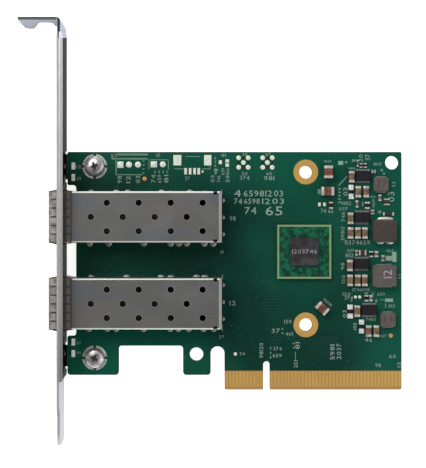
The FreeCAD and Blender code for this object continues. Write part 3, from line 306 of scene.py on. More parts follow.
def sum_of(operation):
    """A Python operator on two values that adds one Math node."""
    def method(self, other):
        return self.math(operation, self, other)
    return method


class Socket:
    """A shader output that takes part in Python sums; each sum adds one node."""
    __add__ = __radd__ = sum_of("ADD")
    __mul__ = __rmul__ = sum_of("MULTIPLY")
    __sub__ = sum_of("SUBTRACT")
    __gt__ = sum_of("GREATER_THAN")
    __lt__ = sum_of("LESS_THAN")
    most = sum_of("MAXIMUM")

    def __init__(self, finish, output):
        self.finish = finish
        self.output = output

    def math(self, operation, *values):
        return self.finish.node("ShaderNodeMath", {"operation": operation}, *values)

    def __rsub__(self, other):
        return self.math("SUBTRACT", other, self)

    def size(self):
        return self.math("ABSOLUTE", self)

    def repeat(self, pitch):
        """Distance from the middle of the nearest of many bands a pitch apart."""
        return self.math("PINGPONG", self, pitch / 2)

    def step(self, low, high):
        """0 below low, 1 above high, smooth between."""
        settings = {"interpolation_type": "SMOOTHSTEP", "clamp": True}
        return self.finish.node("ShaderNodeMapRange", settings, self, low, high, 0.0, 1.0)


class Finish:
    """One procedural material on a Principled shader, read in Object coordinates."""

    def __init__(self, name, **plain):
        self.material = bpy.data.materials.new(name)
        self.material.use_nodes = True
        self.tree = self.material.node_tree
        self.shader = self.tree.nodes["Principled BSDF"]
        for socket, value in plain.items():
            self.set(socket.replace("_", " "), value)

    def node(self, kind, settings, *values, out=0):
        """Add a node: its settings first, then values or links for its first free sockets."""
        made = self.tree.nodes.new(kind)
        for key, setting in settings.items():
            setattr(made, key, setting)
        sockets = [socket for socket in made.inputs if socket.enabled]
        for socket, value in zip(sockets, values):
            self.put(socket, value)
        outputs = [socket for socket in made.outputs if socket.enabled]
        return Socket(self, outputs[out])

    def put(self, socket, value):
        if isinstance(value, Socket):
            self.tree.links.new(value.output, socket)
        elif socket.type == "RGBA" and len(value) == 3:
            socket.default_value = (*value, 1.0)
        else:
            socket.default_value = value

    def set(self, name, value):
        self.put(self.shader.inputs[name], value)

    def place(self):
        """Object coordinates, which here are the card's own frame, in metres."""
        return self.node("ShaderNodeTexCoord", {}, out=3)

    def parts(self, vector):
        """The three numbers of a vector."""
        split = self.node("ShaderNodeSeparateXYZ", {}, vector)
        return [Socket(self, output) for output in split.output.node.outputs]

    def axes(self):
        """The three coordinates in millimetres."""
        return [part * 1000.0 for part in self.parts(self.place())]

    def facing(self):
        """The surface's own direction as three numbers."""
        return self.parts(self.node("ShaderNodeNewGeometry", {}, out=1))

    def stretched(self, scale, about=(0.0, 0.0, 0.0)):
        """Object coordinates scaled along each axis, for grain that runs one way."""
        start = tuple(-middle * factor for middle, factor in zip(about, scale))
        return self.node("ShaderNodeMapping", {}, self.place(), start, (0.0, 0.0, 0.0), scale)

    def noise(self, scale, detail, roughness, vector=None):
        """Soft noise from 0 to 1; scale is in cells a metre."""
        vector = vector or self.place()
        return self.node("ShaderNodeTexNoise", {}, vector, scale, detail, roughness)

    def cells(self, scale):
        """Distance from the nearest of many scattered points."""
        return self.node("ShaderNodeTexVoronoi", {}, self.place(), scale)

    def mix(self, mask, first, second):
        """Colour that goes from first to second as the mask goes from 0 to 1."""
        settings = {"data_type": "RGBA", "clamp_factor": True}
        return self.node("ShaderNodeMix", settings, mask, first, second)

    def coats(self, shade, *coats):
        """A colour with others laid over it in turn, each as far as its own mask goes."""
        for mask, coat in coats:
            shade = self.mix(mask, shade, coat)
        return shade

    def done(self, shade, rough=None, relief=None, rise=0.00003, strength=0.5):
        """Connect the colour, and the roughness and relief where given, and give the material."""
        self.set("Base Color", shade)
        if rough is not None:
            self.set("Roughness", rough)
        if relief is not None:
            bump = self.node("ShaderNodeBump", {}, strength, rise)
            self.put(bump.output.node.inputs["Height"], relief)
            self.set("Normal", bump)
        return self.material


def paler(shade, factor):
    return tuple(min(1.0, part * factor) for part in shade)


# ---------------------------------------------------------------- finishes

def board_finish(looks):
    """Glossy green mask, darker over bare laminate, with fine traces, vias and a sawn edge."""
    finish = Finish("solder_mask", IOR=1.5, Specular_IOR_Level=0.16)
    x, y, _ = finish.axes()
    _, _, up = finish.facing()
    broad = finish.noise(22.0, 2.0, 0.45)
    grain = finish.noise(900.0, 2.0, 0.6)
    # Paler towards the top, the right edge and the lower left; a painted shadow of the cages darkens
    # the board between them.
    rim = (y - 57.0).step(0.0, 12.0).most((x - 22.0).step(0.0, 12.0)) * 0.85
    left = (-34.0 - x).step(0.0, 10.0) * (18.0 - y).step(0.0, 6.0) * 0.7
    painted_cage_shadow = (21.0 - (x + 34.0).size()).step(0.0, 4.0) * (6.5 - (y - 37.7).size()).step(0.0, 3.0)
    tracks = (y.repeat(0.9) < 0.12) * finish.noise(60.0, 1.0, 0.4).step(0.52, 0.56)
    vias = (finish.cells(420.0) < 0.12) * finish.noise(150.0, 1.0, 0.5).step(0.53, 0.57)
    tongue = (y < CONTACT_TOP) * (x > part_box("edge_contacts_front")[0].x / MM - 0.4)
    side = up.size() < 0.5
    weave = finish.noise(1500.0, 2.0, 0.6, finish.stretched((0.3, 0.3, 4.0)))
    sawn = finish.mix(weave, paler(looks.edge, 0.8), paler(looks.edge, 1.5))
    shade = finish.coats(
        looks.mask_dark,
        (broad.step(0.40, 0.60), looks.mask),
        (rim.most(left), looks.mask_light),
        # Painted shadow of the cages on the board between them.
        (painted_cage_shadow * 0.6, paler(looks.mask_dark, 0.7)),
        (grain.step(0.35, 0.75) * 0.12, paler(looks.mask_light, 1.5)),
        (tracks * 0.14, looks.mask_light),
        (vias * 0.5, paler(looks.mask_light, 1.6)),
        (tongue, looks.laminate),
        (side, sawn))
    return finish.done(shade, 0.26 + side * 0.45 + grain * 0.08, tracks + grain * 0.25)


def gold_finish(looks):
    """Hard gold with fine wiping marks along the insertion direction."""
    finish = Finish("gold_plating", Metallic=0.55, IOR=1.5)
    wiped = finish.noise(2500.0, 2.0, 0.6, finish.stretched((1.0, 0.12, 1.0)))
    broad = finish.noise(120.0, 2.0, 0.5)
    shade = finish.coats(
        looks.gold,
        (wiped.step(0.3, 0.7) * 0.5, paler(looks.gold, 0.72)),
        (broad.step(0.4, 0.7) * 0.35, paler(looks.gold, 1.25)))
    return finish.done(shade, 0.30 + wiped * 0.18, wiped, 0.00001, 0.4)


def one_grain(name, dark, light, noise, steps=None, rough=None, relief=False, **plain):
    """Finish whose tone, and roughness and relief where asked, follow one fine grain."""
    finish = Finish(name, **plain)
    grain = finish.noise(*noise)
    tone = finish.mix(grain.step(*steps) if steps else grain, dark, light)
    sway = rough[0] + grain * rough[1] if rough else None
    return finish.done(tone, sway, grain if relief else None)


def tin_finish(name, shade, depth=0.8):
    """Bare tinned copper, slightly cloudy."""
    return one_grain(name, paler(shade, depth), shade, (1800.0, 3.0, 0.6), (0.3, 0.7),
                     rough=(0.35, 0.2), relief=True, Metallic=0.35)


def ink_finish(name, shade):
    """Printed marks, a little thin in places."""
    return one_grain(name, paler(shade, 0.7), paler(shade, 1.1), (3500.0, 2.0, 0.6),
                     (0.35, 0.75), Roughness=0.6)


def copper_finish():
    """Small bare copper test dots."""
    return one_grain("bare_copper", (0.55, 0.22, 0.06), (0.62, 0.33, 0.13), (4000.0, 2.0, 0.5),
                     rough=(0.35, 0.2), Metallic=0.5)


def plain_metal(name, shade, rough, grain_scale=2200.0):
    """Small metal part with a fine uneven surface."""
    return one_grain(name, paler(shade, 0.72), paler(shade, 1.1), (grain_scale, 3.0, 0.6),
                     (0.3, 0.7), rough=(rough, 0.15), relief=True, Metallic=0.7)


def die_finish(looks):
    """Bare silicon: dark, smooth, with faint cloudy reflections."""
    return one_grain("bare_silicon", looks.die, paler(looks.die, 1.8), (420.0, 3.0, 0.55),
                     (0.4, 0.7), rough=(0.22, 0.15), Metallic=0.2)


def lamp_plastic_finish():
    """Milky light body."""
    return one_grain("light_resin", (0.74, 0.79, 0.73), (0.90, 0.92, 0.88), (1500.0, 2.0, 0.5),
                     Roughness=0.25)


def bracket_finish(looks):
    """Satin plated sheet with grain along its length: smoother on its broad faces, dark at a grazing
    look, and duller plating inside the top tab and along the tongue, which carry a pale painted
    light; painted shade darkens the tab's top edge and the tongue's upward faces above its tip."""
    # Pale painted light for the top tab and the tongue, and painted shade for the tab's top edge at
    # its tip and bend, and for the tongue's upward faces.
    painted_tab_light, painted_tab_tip_shade, painted_tab_bend_shade = (0.64, 0.69, 0.78), (0.085, 0.098, 0.105), (0.030, 0.032, 0.045)
    painted_tongue_light, tongue_shadow = (0.86, 0.86, 0.92), (0.15, 0.155, 0.165)
    finish = Finish("bracket_plate", Specular_IOR_Level=0.0, Specular_Tint=(0.0, 0.0, 0.0))
    x, y, z = finish.axes()
    across, along, up = finish.facing()
    broad = across.size() > 0.5
    grain = finish.noise(1600.0, 3.0, 0.6, finish.stretched((1.0, 0.03, 1.0)))
    cloud = finish.noise(140.0, 3.0, 0.55)
    low_end = (28.0 - y).step(0.0, 25.0)
    inside = (across + 0.5).step(0.0, 0.05) * (0.5 - along).step(0.0, 0.05)
    tab = (y + z * TAB_LEAN - TAB_START).step(0.0, 0.4) * inside
    tab_edge = tab * (up > 0.5)
    behind_tip = (x - TAB_TIP).step(0.0, 0.1)
    before_bend = (TAB_BEND - x).step(0.0, 0.1)
    tongue = (TONGUE_START - y).step(0.0, 0.5) * inside
    shade = finish.coats(
        looks.bracket,
        (grain.step(0.3, 0.7) * 0.45, paler(looks.bracket, 0.78)),
        (cloud.step(0.45, 0.7) * 0.3, paler(looks.bracket, 1.25)),
        (low_end * 0.6, paler(looks.bracket, 0.62)),
        # The top tab and the tongue are painted pale, as painted light.
        (tab, painted_tab_light),
        # Painted shade on the tab's top edge, at its tip and at its bend.
        (tab_edge * (TAB_TIP - x).step(0.0, 0.1), painted_tab_tip_shade),
        (tab_edge * behind_tip * before_bend, painted_tab_bend_shade),
        (tongue, painted_tongue_light),
        (tongue * (up > 0.5) * (y + 16.0).step(0.0, 6.0) * 0.7, tongue_shadow))
    dull = tab.most(tongue)
    finish.set("Metallic", (0.92 + broad * 0.08) * (1.0 - dull * 0.85))
    rough = 0.34 - broad * (1.0 - dull) * 0.25 + grain * 0.10 + cloud * 0.04
    return finish.done(shade, rough, grain, 0.00002, 0.35)


def cage_finish(looks):
    """Dull drawn sheet: grain along the cage, cool and warm tarnish, bright vent rims, and a painted
    highlight along the top folds.
    """
    cool, warm = (0.108, 0.118, 0.155), (0.150, 0.135, 0.118)
    finish = Finish("cage_sheet", Metallic=0.6)
    x, y, z = finish.axes()
    across, _, up = finish.facing()
    grain = finish.noise(2600.0, 3.0, 0.65, finish.stretched((0.05, 1.0, 1.0)))
    cloud = finish.noise(95.0, 4.0, 0.6)
    tarnish = finish.noise(130.0, 2.0, 0.5, finish.stretched((0.5, 1.0, 1.0), (0.31, 0.17, 0.0)))
    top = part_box("upper_cage_shell")[1].z / MM
    # Painted highlight on the rounded top folds, weaker on faces turned towards +X.
    folds = (up - 0.15).step(0.0, 0.2) * (0.985 - up).step(0.0, 0.05) * (z > top - 1.5)
    shade = finish.coats(
        looks.cage,
        (grain.step(0.3, 0.7) * 0.4, paler(looks.cage, 0.76)),
        (cloud.step(0.42, 0.68) * 0.45, paler(looks.cage, 1.30)),
        (tarnish.step(0.50, 0.66) * 0.6, cool),
        ((0.44 - tarnish).step(0.0, 0.15) * 0.4, warm),
        (vent_rims(x, y) * (up > 0.9) * 0.6, paler(looks.cage, 2.0)),
        # Painted highlight along the folds.
        (folds * (1.0 - (across > 0.3) * 0.6), looks.cage_fold_highlight))
    return finish.done(shade, 0.36 + grain * 0.15 + cloud * 0.08, grain, 0.00002)


def vent_rims(x, y):
    """1 on a thin ring round each vent, from the vents' own rows and pitch."""
    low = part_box("lower_cage_shell")
    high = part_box("upper_cage_shell")
    between = (low[0].y + high[1].y) / 2 / MM
    apart = (high[1].y - low[1].y) / 2 / MM
    off = (y - between).size() - apart
    rings = []
    for first, row in ((VENT_OUTER_X, off.size() - VENT_ROW_OFFSET), (VENT_MIDDLE_X, off)):
        column = (x - first).repeat(VENT_PITCH)
        last = first + (VENT_COLUMNS - 0.5) * VENT_PITCH
        inside = (x > first - VENT_PITCH / 2) * (x < last)
        near = (column * column + row * row) < (VENT_RADIUS + VENT_RIM) ** 2
        rings.append(near * inside)
    return rings[0].most(rings[1])


def collar_finish(looks):
    """Spring sheet: pale and blotched outside the bracket, browner and banded behind it."""
    dark_brown, brown = (0.062, 0.050, 0.045), (0.125, 0.108, 0.098)
    finish = Finish("spring_sheet", Metallic=0.6)
    x, _, _ = finish.axes()
    blotch = finish.noise(520.0, 3.0, 0.6)
    grain = finish.noise(2600.0, 3.0, 0.6)
    banded = finish.mix(x.repeat(1.9).step(0.2, 0.6), dark_brown, brown)
    shade = finish.coats(
        paler(looks.collar, 1.35),
        (blotch.step(0.42, 0.62) * 0.7, paler(looks.collar, 0.55)),
        ((x - BRACKET_PLANE).step(0.0, 0.3), banded))
    return finish.done(shade, 0.32 + grain * 0.2, grain)


def screw_finish(looks):
    """Bright zinc with cloudy tarnish and a fine grain."""
    finish = Finish("screw_zinc", Metallic=0.9)
    cloud = finish.noise(700.0, 3.0, 0.6)
    fine = finish.noise(4000.0, 2.0, 0.6)
    shade = finish.coats(
        looks.screw,
        (cloud.step(0.42, 0.62) * 0.8, paler(looks.screw, 0.36)),
        (fine.step(0.4, 0.7) * 0.3, paler(looks.screw, 1.4)))
    return finish.done(shade, 0.22 + cloud * 0.2, fine, strength=0.4)


def plastic_finish(name, shade, rough, speck):
    """Moulded or pressed part with a fine grain."""
    finish = Finish(name, Specular_IOR_Level=0.2)
    grain = finish.noise(3800.0, 3.0, 0.65)
    broad = finish.noise(500.0, 2.0, 0.5)
    tone = finish.coats(
        shade,
        (grain.step(0.35, 0.7) * speck, paler(shade, 1.9)),
        (broad.step(0.4, 0.7) * 0.3, paler(shade, 0.65)))
    return finish.done(tone, rough + grain * 0.15, grain, 0.00004, 0.6)


def ceramic_finish(name, shade):
    """Fired body of a chip part: sandy, with darker streaks."""
    finish = Finish(name, Specular_IOR_Level=0.25)
    streak = finish.noise(1100.0, 2.0, 0.6)
    grain = finish.noise(4200.0, 3.0, 0.6)
    tone = finish.coats(
        paler(shade, 0.55),
        (streak.step(0.38, 0.62), paler(shade, 1.25)),
        (grain.step(0.4, 0.7) * 0.35, paler(shade, 1.7)))
    return finish.done(tone, 0.40 + grain * 0.15, grain, 0.00004, 0.6)


def package_finish(looks):
    """Package laminate: bare rim, mottled copper pours and darker ground between them."""
    finish = Finish("package_laminate", Specular_IOR_Level=0.2)
    low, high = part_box("chip_substrate")
    middle = (low + high) / 2 / MM
    half = (high.x - low.x) / 2 / MM
    x, y, _ = finish.axes()
    off = (x - middle.x).size().most((y - middle.y).size())
    rim = (off - (half - 0.62)).step(0.0, 0.12) * (1.0 - (off - (half - 0.12)).step(0.0, 0.1) * 0.4)
    pours = finish.noise(620.0, 3.0, 0.62).step(0.42, 0.58)
    fine = finish.noise(2600.0, 2.0, 0.6)
    shade = finish.coats(
        looks.package_dark,
        (pours, looks.package),
        (fine.step(0.45, 0.75) * 0.3, paler(looks.package, 1.5)),
        (rim, looks.package_rim))
    return finish.done(shade, 0.28 + fine * 0.2, pours + fine * 0.3)


# ---------------------------------------------------------------- modelling helpers

def deselect():
    if bpy.context.object and bpy.context.object.mode != "OBJECT":
        bpy.ops.object.mode_set(mode="OBJECT")
    bpy.ops.object.select_all(action="DESELECT")


def choose(*things):
    """Select only these objects and make the first one active."""
    deselect()
    for thing in things:
        thing.select_set(True)
    bpy.context.view_layer.objects.active = things[0]


@contextlib.contextmanager
def editing(thing, start="SELECT"):
    """Edit mode on one object, with all of it selected, none of it, or what already is."""
    choose(thing)
    bpy.ops.object.mode_set(mode="EDIT")
    if start:
        bpy.ops.mesh.select_all(action=start)
    yield
    bpy.ops.object.mode_set(mode="OBJECT")


def settle(thing):
    """Bring the object's place, turn and scale into its mesh."""
    choose(thing)
    bpy.ops.object.transform_apply(location=True, rotation=True, scale=True)
    return thing


def cuboid(low, high):
    """A new block between two corners in metres."""
    deselect()
    bpy.ops.mesh.primitive_cube_add(size=1.0, location=(low + high) / 2)
    thing = bpy.context.object
    thing.scale = high - low
    return settle(thing)


def slab(across, up, thick, x=0.0, y=0.0):
    """A block of a size in millimetres that stands on the board's face, about a place."""
    low = Vector((x - across / 2, y - up / 2, 0.0))
    high = Vector((x + across / 2, y + up / 2, thick))
    return cuboid(low * MM, high * MM)


def disc(low, high, radius, sides):
    """A round bar about the Z axis, in metres."""
    deselect()
    bpy.ops.mesh.primitive_cylinder_add(
        vertices=sides, radius=radius, depth=high - low, location=(0.0, 0.0, (low + high) / 2))
    return settle(bpy.context.object)


def modify(thing, kind, **settings):
    """Add a modifier with its settings and apply it."""
    choose(thing)
    modifier = thing.modifiers.new(kind.lower(), kind)
    for key, value in settings.items():
        setattr(modifier, key, value)
    bpy.ops.object.modifier_apply(modifier=modifier.name)
    return thing


def rounded(thing, width):
    """Bevel every edge sharper than half a radian."""
    return modify(thing, "BEVEL", width=width, segments=3, limit_method="ANGLE", angle_limit=0.5)


def smooth(thing, angle=0.7):
    choose(thing)
    bpy.ops.object.shade_smooth_by_angle(angle=angle)
    return thing


def copied(thing, matrix):
    """A separate copy of a finished mesh, moved by a matrix."""
    twin = thing.copy()
    twin.data = thing.data.copy()
    twin.data.transform(matrix)
    bpy.context.collection.objects.link(twin)
    return twin


def drop(thing):
    bpy.data.objects.remove(thing)


def joined(things, name):
    """Join meshes into one named piece."""
    choose(*things)
    if len(things) > 1:
        bpy.ops.object.join()
    piece = bpy.context.object
    piece.name = name
    piece.data.name = name
    return piece


def turned(degrees):
    return Matrix.Rotation(math.radians(degrees), 4, "Z")


def spot(x, y, turn=0.0, z=0.0):
    """Matrix that stands something at a place in millimetres, turned about Z in degrees."""
    return Matrix.Translation((x * MM, y * MM, z * MM)) @ turned(turn)


def sized(x, y, z):
    """Matrix that scales a unit shape to millimetres."""
    return Matrix.Diagonal((x * MM, y * MM, z * MM, 1.0))


def middle_of(node):
    """Middle of a solid's box, in millimetres."""
    low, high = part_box(node)
    return (low + high) / 2 / MM


def dress(piece, slot, *materials, replaces=()):
    """Give a finished piece its materials and its place on the body; the slot argument is not used.
    """
    slots = piece.data.materials
    while len(slots) < len(materials):
        slots.append(None)
    for index, material in enumerate(materials):
        slots[index] = material
    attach(piece, BODY)
    if replaces:
        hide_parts(*replaces)
    return piece


def paint(node, material):
    """Assign a finish to a carried-over solid."""
    if not node.material_slots:
        node.data.materials.append(material)
    for slot in node.material_slots:
        slot.material = material


def mark_faces(piece, index, test):
    """Give the faces whose middle passes a test another material index."""
    for polygon in piece.data.polygons:
        if test(polygon.center):
            polygon.material_index = index


# ---------------------------------------------------------------- operators

class CARD_OT_finishes(bpy.types.Operator):
    """Give every carried-over solid its finish"""
    bl_idname = "card.finishes"
    bl_label = "Finish the Solids"

    def execute(self, context):
        board = context.scene.card_board
        metal = context.scene.card_metal
        parts = context.scene.card_parts
        solder = plain_metal("solder", metal.solder, 0.30)
        black = plastic_finish("moulded_black", parts.moulding, 0.45, 0.3)
        core = plastic_finish("pressed_core", parts.ferrite, 0.55, 0.5)
        ceramic = plastic_finish("fired_ceramic", parts.ceramic, 0.4, 0.3)
        gold = gold_finish(board)
        plan = {
            "circuit_board": board_finish(board),
            "heatsink_hole_rings": gold,
            "edge_contacts_front": gold,
            "edge_contacts_back": gold,
            "screw_ground_pads": tin_finish("screw_pad_tin", board.screw_pad, 0.45),
            "bracket": bracket_finish(metal),
            "chip_substrate": package_finish(parts),
            "chip_die": die_finish(parts),
            "chip_solder_balls": solder,
        }
        port_plan = {
            "bracket_screw": plain_metal("hidden_screw_zinc", metal.screw, 0.3),
            "cage_shell": cage_finish(metal),
            "spring_collar": collar_finish(metal),
            "port_connector": black,
            "port_contacts": plain_metal("contact_strip", board.gold, 0.3),
            "port_lights": lamp_plastic_finish(),
        }
        port_plan["cage_base"] = port_plan["cage_shell"]
        for port, (part, material) in itertools.product(PORTS, port_plan.items()):
            plan[f"{port}_{part}"] = material
        for name in NODES:
            if name.endswith(("_leads", "_terminals")):
                plan[name] = solder
            elif name.startswith("regulator"):
                plan[name] = black
            elif name.startswith("inductor"):
                plan[name] = core
            elif "capacitor" in name or name == "resistor":
                plan[name] = ceramic
        missing = set(NODES) - set(plan)
        if missing:
            raise RuntimeError(f"no finish for {sorted(missing)}")
        for name, material in plan.items():
            paint(NODES[name], material)
        return {"FINISHED"}


class DigitStamp:
    """Cuts each digit once, a unit high and a unit thick, and stamps copies of it."""
    gap = 0.18

    def __init__(self):
        self.cut = {}

    def digit(self, character):
        """The cut digit and its width."""
        if character not in self.cut:
            deselect()
            bpy.ops.object.text_add()
            writing = bpy.context.object
            writing.data.body = character
            writing.data.resolution_u = 2
            writing.data.extrude = 0.5
            bpy.ops.object.convert(target="MESH")
            glyph = bpy.context.object
            with editing(glyph):
                bpy.ops.mesh.remove_doubles(threshold=0.0001)
            xs = [vertex.co.x for vertex in glyph.data.vertices]
            ys = [vertex.co.y for vertex in glyph.data.vertices]
            size = max(ys) - min(ys)
            shift = Matrix.Translation((-min(xs), -min(ys), 0.5))
            glyph.data.transform(Matrix.Diagonal((1 / size, 1 / size, 1.0, 1.0)) @ shift)
            self.cut[character] = (glyph, (max(xs) - min(xs)) / size)
        return self.cut[character]

    def row(self, text, x, y, turn, height, length=None, level=0.0):
        """Copies of the digits, centred on a place, and stretched to a length where one is given."""
        widths = [self.digit(character)[1] for character in text]
        whole = sum(widths) + self.gap * (len(text) - 1)
        across = length / whole if length else height
        start = -whole / 2
        made = []
        for character, width in zip(text, widths):
            size = sized(across, height, SKIN)
            shift = Matrix.Translation((start, -0.5, 0.0))
            made.append(copied(self.digit(character)[0], spot(x, y, turn, level) @ size @ shift))
            start += width + self.gap
        return made

    def clear(self):
        for glyph, _ in self.cut.values():
            drop(glyph)


class CARD_OT_print(bpy.types.Operator):
    """Print plain numbers, outlines and ticks on the board and a number on the processor"""
    bl_idname = "card.print"
    bl_label = "Print the Marks"

    def execute(self, context):
        looks = context.scene.card_board
        stamp = DigitStamp()
        self.numbers(stamp, looks)
        self.chip_number(stamp, context.scene.card_parts)
        stamp.clear()
        bars = self.lines() + self.ticks()
        dress(joined(bars, "printed_lines"), "board", ink_finish("line_ink", looks.line_ink))
        return {"FINISHED"}

    def numbers(self, stamp, looks):
        """Rows of digits that mean nothing, as many as each row's length holds."""
        order = itertools.cycle("1203746598")
        digits = []
        for x, y, length, height, turn in LABELS:
            count = max(1, round(length / height / DIGIT_SHAPE))
            text = "".join(itertools.islice(order, count))
            digits += stamp.row(text, x, y, turn, height, length)
        dress(joined(digits, "printed_numbers"), "board", ink_finish("number_ink", looks.ink))

    def chip_number(self, stamp, looks):
        text, x, y, length, height = CHIP_NUMBER
        middle = middle_of("chip_die")
        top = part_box("chip_die")[1].z / MM
        digits = stamp.row(text, middle.x + x, middle.y + y, 0, height, length, top)
        etched = plastic_finish("chip_number_etch", looks.die_number, 0.5, 0.4)
        dress(joined(digits, "chip_number"), "chip_silicon", etched)

    def lines(self):
        bars = []
        for x1, y1, x2, y2, width in LINES:
            bar = slab(math.hypot(x2 - x1, y2 - y1) + width, width, SKIN)
            turn = math.degrees(math.atan2(y2 - y1, x2 - x1))
            bar.data.transform(spot((x1 + x2) / 2, (y1 + y2) / 2, turn))
            bars.append(bar)
        return bars

    def ticks(self):
        bars = []
        for x, y, count, pitch, across, tall, turn in TICKS:
            tick = slab(across, tall, SKIN)
            for index in range(count):
                along = turned(turn) @ Vector((index * pitch, 0, 0))
                bars.append(copied(tick, spot(x + along.x, y + along.y)))
            drop(tick)
        return bars


class CARD_OT_pads(bpy.types.Operator):
    """Lay the bare tinned pads, header pads, copper dots and the dark gaps between dots"""
    bl_idname = "card.pads"
    bl_label = "Lay the Pads"

    def execute(self, context):
        looks = context.scene.card_board
        metal = context.scene.card_metal
        pads = [self.plate(*row) for row in PADS + SQUARE_HEADER_PADS]
        pads += [self.dome(*row, 0.12) for row in ROUND_PADS]
        pads += [self.dome(x, y, 0.78, 0.14) for x, y, _, _ in SQUARE_HEADER_PADS]
        self.lay(pads, "tinned_pads", "tinned_pads", tin_finish("tinned_copper", looks.tin))
        pads = [self.plate(*row) for row in DULL_PADS]
        self.lay(pads, "dulled_pads", "tinned_pads", tin_finish("dulled_copper", looks.dull_tin))
        dots = [self.dome(*row, 0.08) for row in COPPER_DOTS]
        self.lay(dots, "copper_dots", "gold_plating", copper_finish())
        grey = plain_metal("lead_solder", metal.lead_solder, 0.35)
        self.lay(self.regulator_rows(), "regulator_pads", "tinned_pads", grey)
        gaps = [slab(0.8, 0.8, SKIN, x + dx * DOT_STEP, y + dy * DOT_STEP)
                for x, y in DOT_GROUPS for dx, dy in ((0, 1), (1, 0), (0, -1), (-1, 0))]
        dark = plastic_finish("bare_gap", (0.012, 0.010, 0.006), 0.5, 0.3)
        dress(joined(gaps, "dot_gaps"), "board", dark)
        return {"FINISHED"}

    def lay(self, things, name, slot, material):
        dress(smooth(joined(things, name)), slot, material)

    def plate(self, x, y, width, height):
        """Thin flat plate, twice as thick as print."""
        return slab(width, height, 2 * SKIN, x, y)

    def dome(self, x, y, radius, rise):
        """Low round cushion of tin on the board."""
        thing = disc(0.0, rise * MM, radius * MM, 20)
        thing.data.transform(spot(x, y))
        return rounded(thing, rise * 0.9 * MM)

    def regulator_rows(self):
        """A strip of solder along each of the regulators' two rows of leads."""
        rows = []
        for number in (1, 2, 3, 4):
            low, high = (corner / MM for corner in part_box(f"regulator_{number}_leads"))
            for y in (low.y + 0.15, high.y - 0.15):
                rows.append(self.plate((low.x + high.x) / 2, y, high.x - low.x + 0.5, 0.4))
        return rows


class CARD_OT_solder(bpy.types.Operator):
    """Flow the solder joints at the cages' pins, behind the cages and at the largest inductor"""
    bl_idname = "card.solder"
    bl_label = "Flow the Solder"

    def execute(self, context):
        looks = context.scene.card_metal
        solder = plain_metal("flowed_solder", looks.solder, 0.42, 1200.0)
        self.flow("solder_joints", solder, self.wall_joints() + self.rear_joints() + self.tails())
        bright = plain_metal("terminal_solder", looks.bright_solder, 0.35, 1200.0)
        rows = [(x, y, 0.0, (across, tall, 0.5)) for x, y, across, tall in TERMINAL_SOLDER]
        self.flow("terminal_joints", bright, rows)
        return {"FINISHED"}

    def wall_joints(self):
        """Places and half sizes of the joints along the cages' walls."""
        rows = []
        for (port, side), (reach, places) in CAGE_JOINTS.items():
            low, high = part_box(f"{port}_cage_shell")
            wall = (high.y if side > 0 else low.y) / MM
            rows += [(x, wall, 0.0, (1.05, reach, 0.32)) for x in places]
        return rows

    def rear_joints(self):
        """Places and half sizes of the three joints behind each cage."""
        rows = []
        for port in PORTS:
            middle = middle_of(f"{port}_cage_shell")
            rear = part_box(f"{port}_cage_shell")[1].x / MM
            rows += [(rear, middle.y + step * 4.9, 0.0, (0.5, 0.6, 0.25)) for step in (-1, 0, 1)]
        return rows

    def tails(self):
        """Places and half sizes of the solder round the pins on the board's back."""
        rows = []
        for port in PORTS:
            low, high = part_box(f"{port}_cage_shell")
            for wall, first in ((high.y / MM - 0.12, -50.5), (low.y / MM + 0.12, -45.4)):
                rows += [(first + 10.0 * step, wall, BACK, (0.8, 0.85, -0.9)) for step in range(4)]
        return rows

    def flow(self, name, material, rows):
        """Copies of a half ball at their places, turned over where their height is negative."""
        ball = self.half_ball()
        beads = []
        for x, y, z, size in rows:
            bead = copied(ball, spot(x, y, 0.0, z) @ sized(*size))
            if size[2] < 0.0:
                bead.data.flip_normals()
            beads.append(bead)
        drop(ball)
        dress(smooth(joined(beads, name)), "solder", material)

    def half_ball(self):
        """Upper half of a unit ball with a closed flat base."""
        deselect()
        bpy.ops.mesh.primitive_uv_sphere_add(segments=16, ring_count=10, radius=1.0)
        ball = bpy.context.object
        with editing(ball):
            bpy.ops.mesh.bisect(plane_co=(0, 0, 0), plane_no=(0, 0, 1), clear_inner=True,
                                use_fill=True)
        return ball


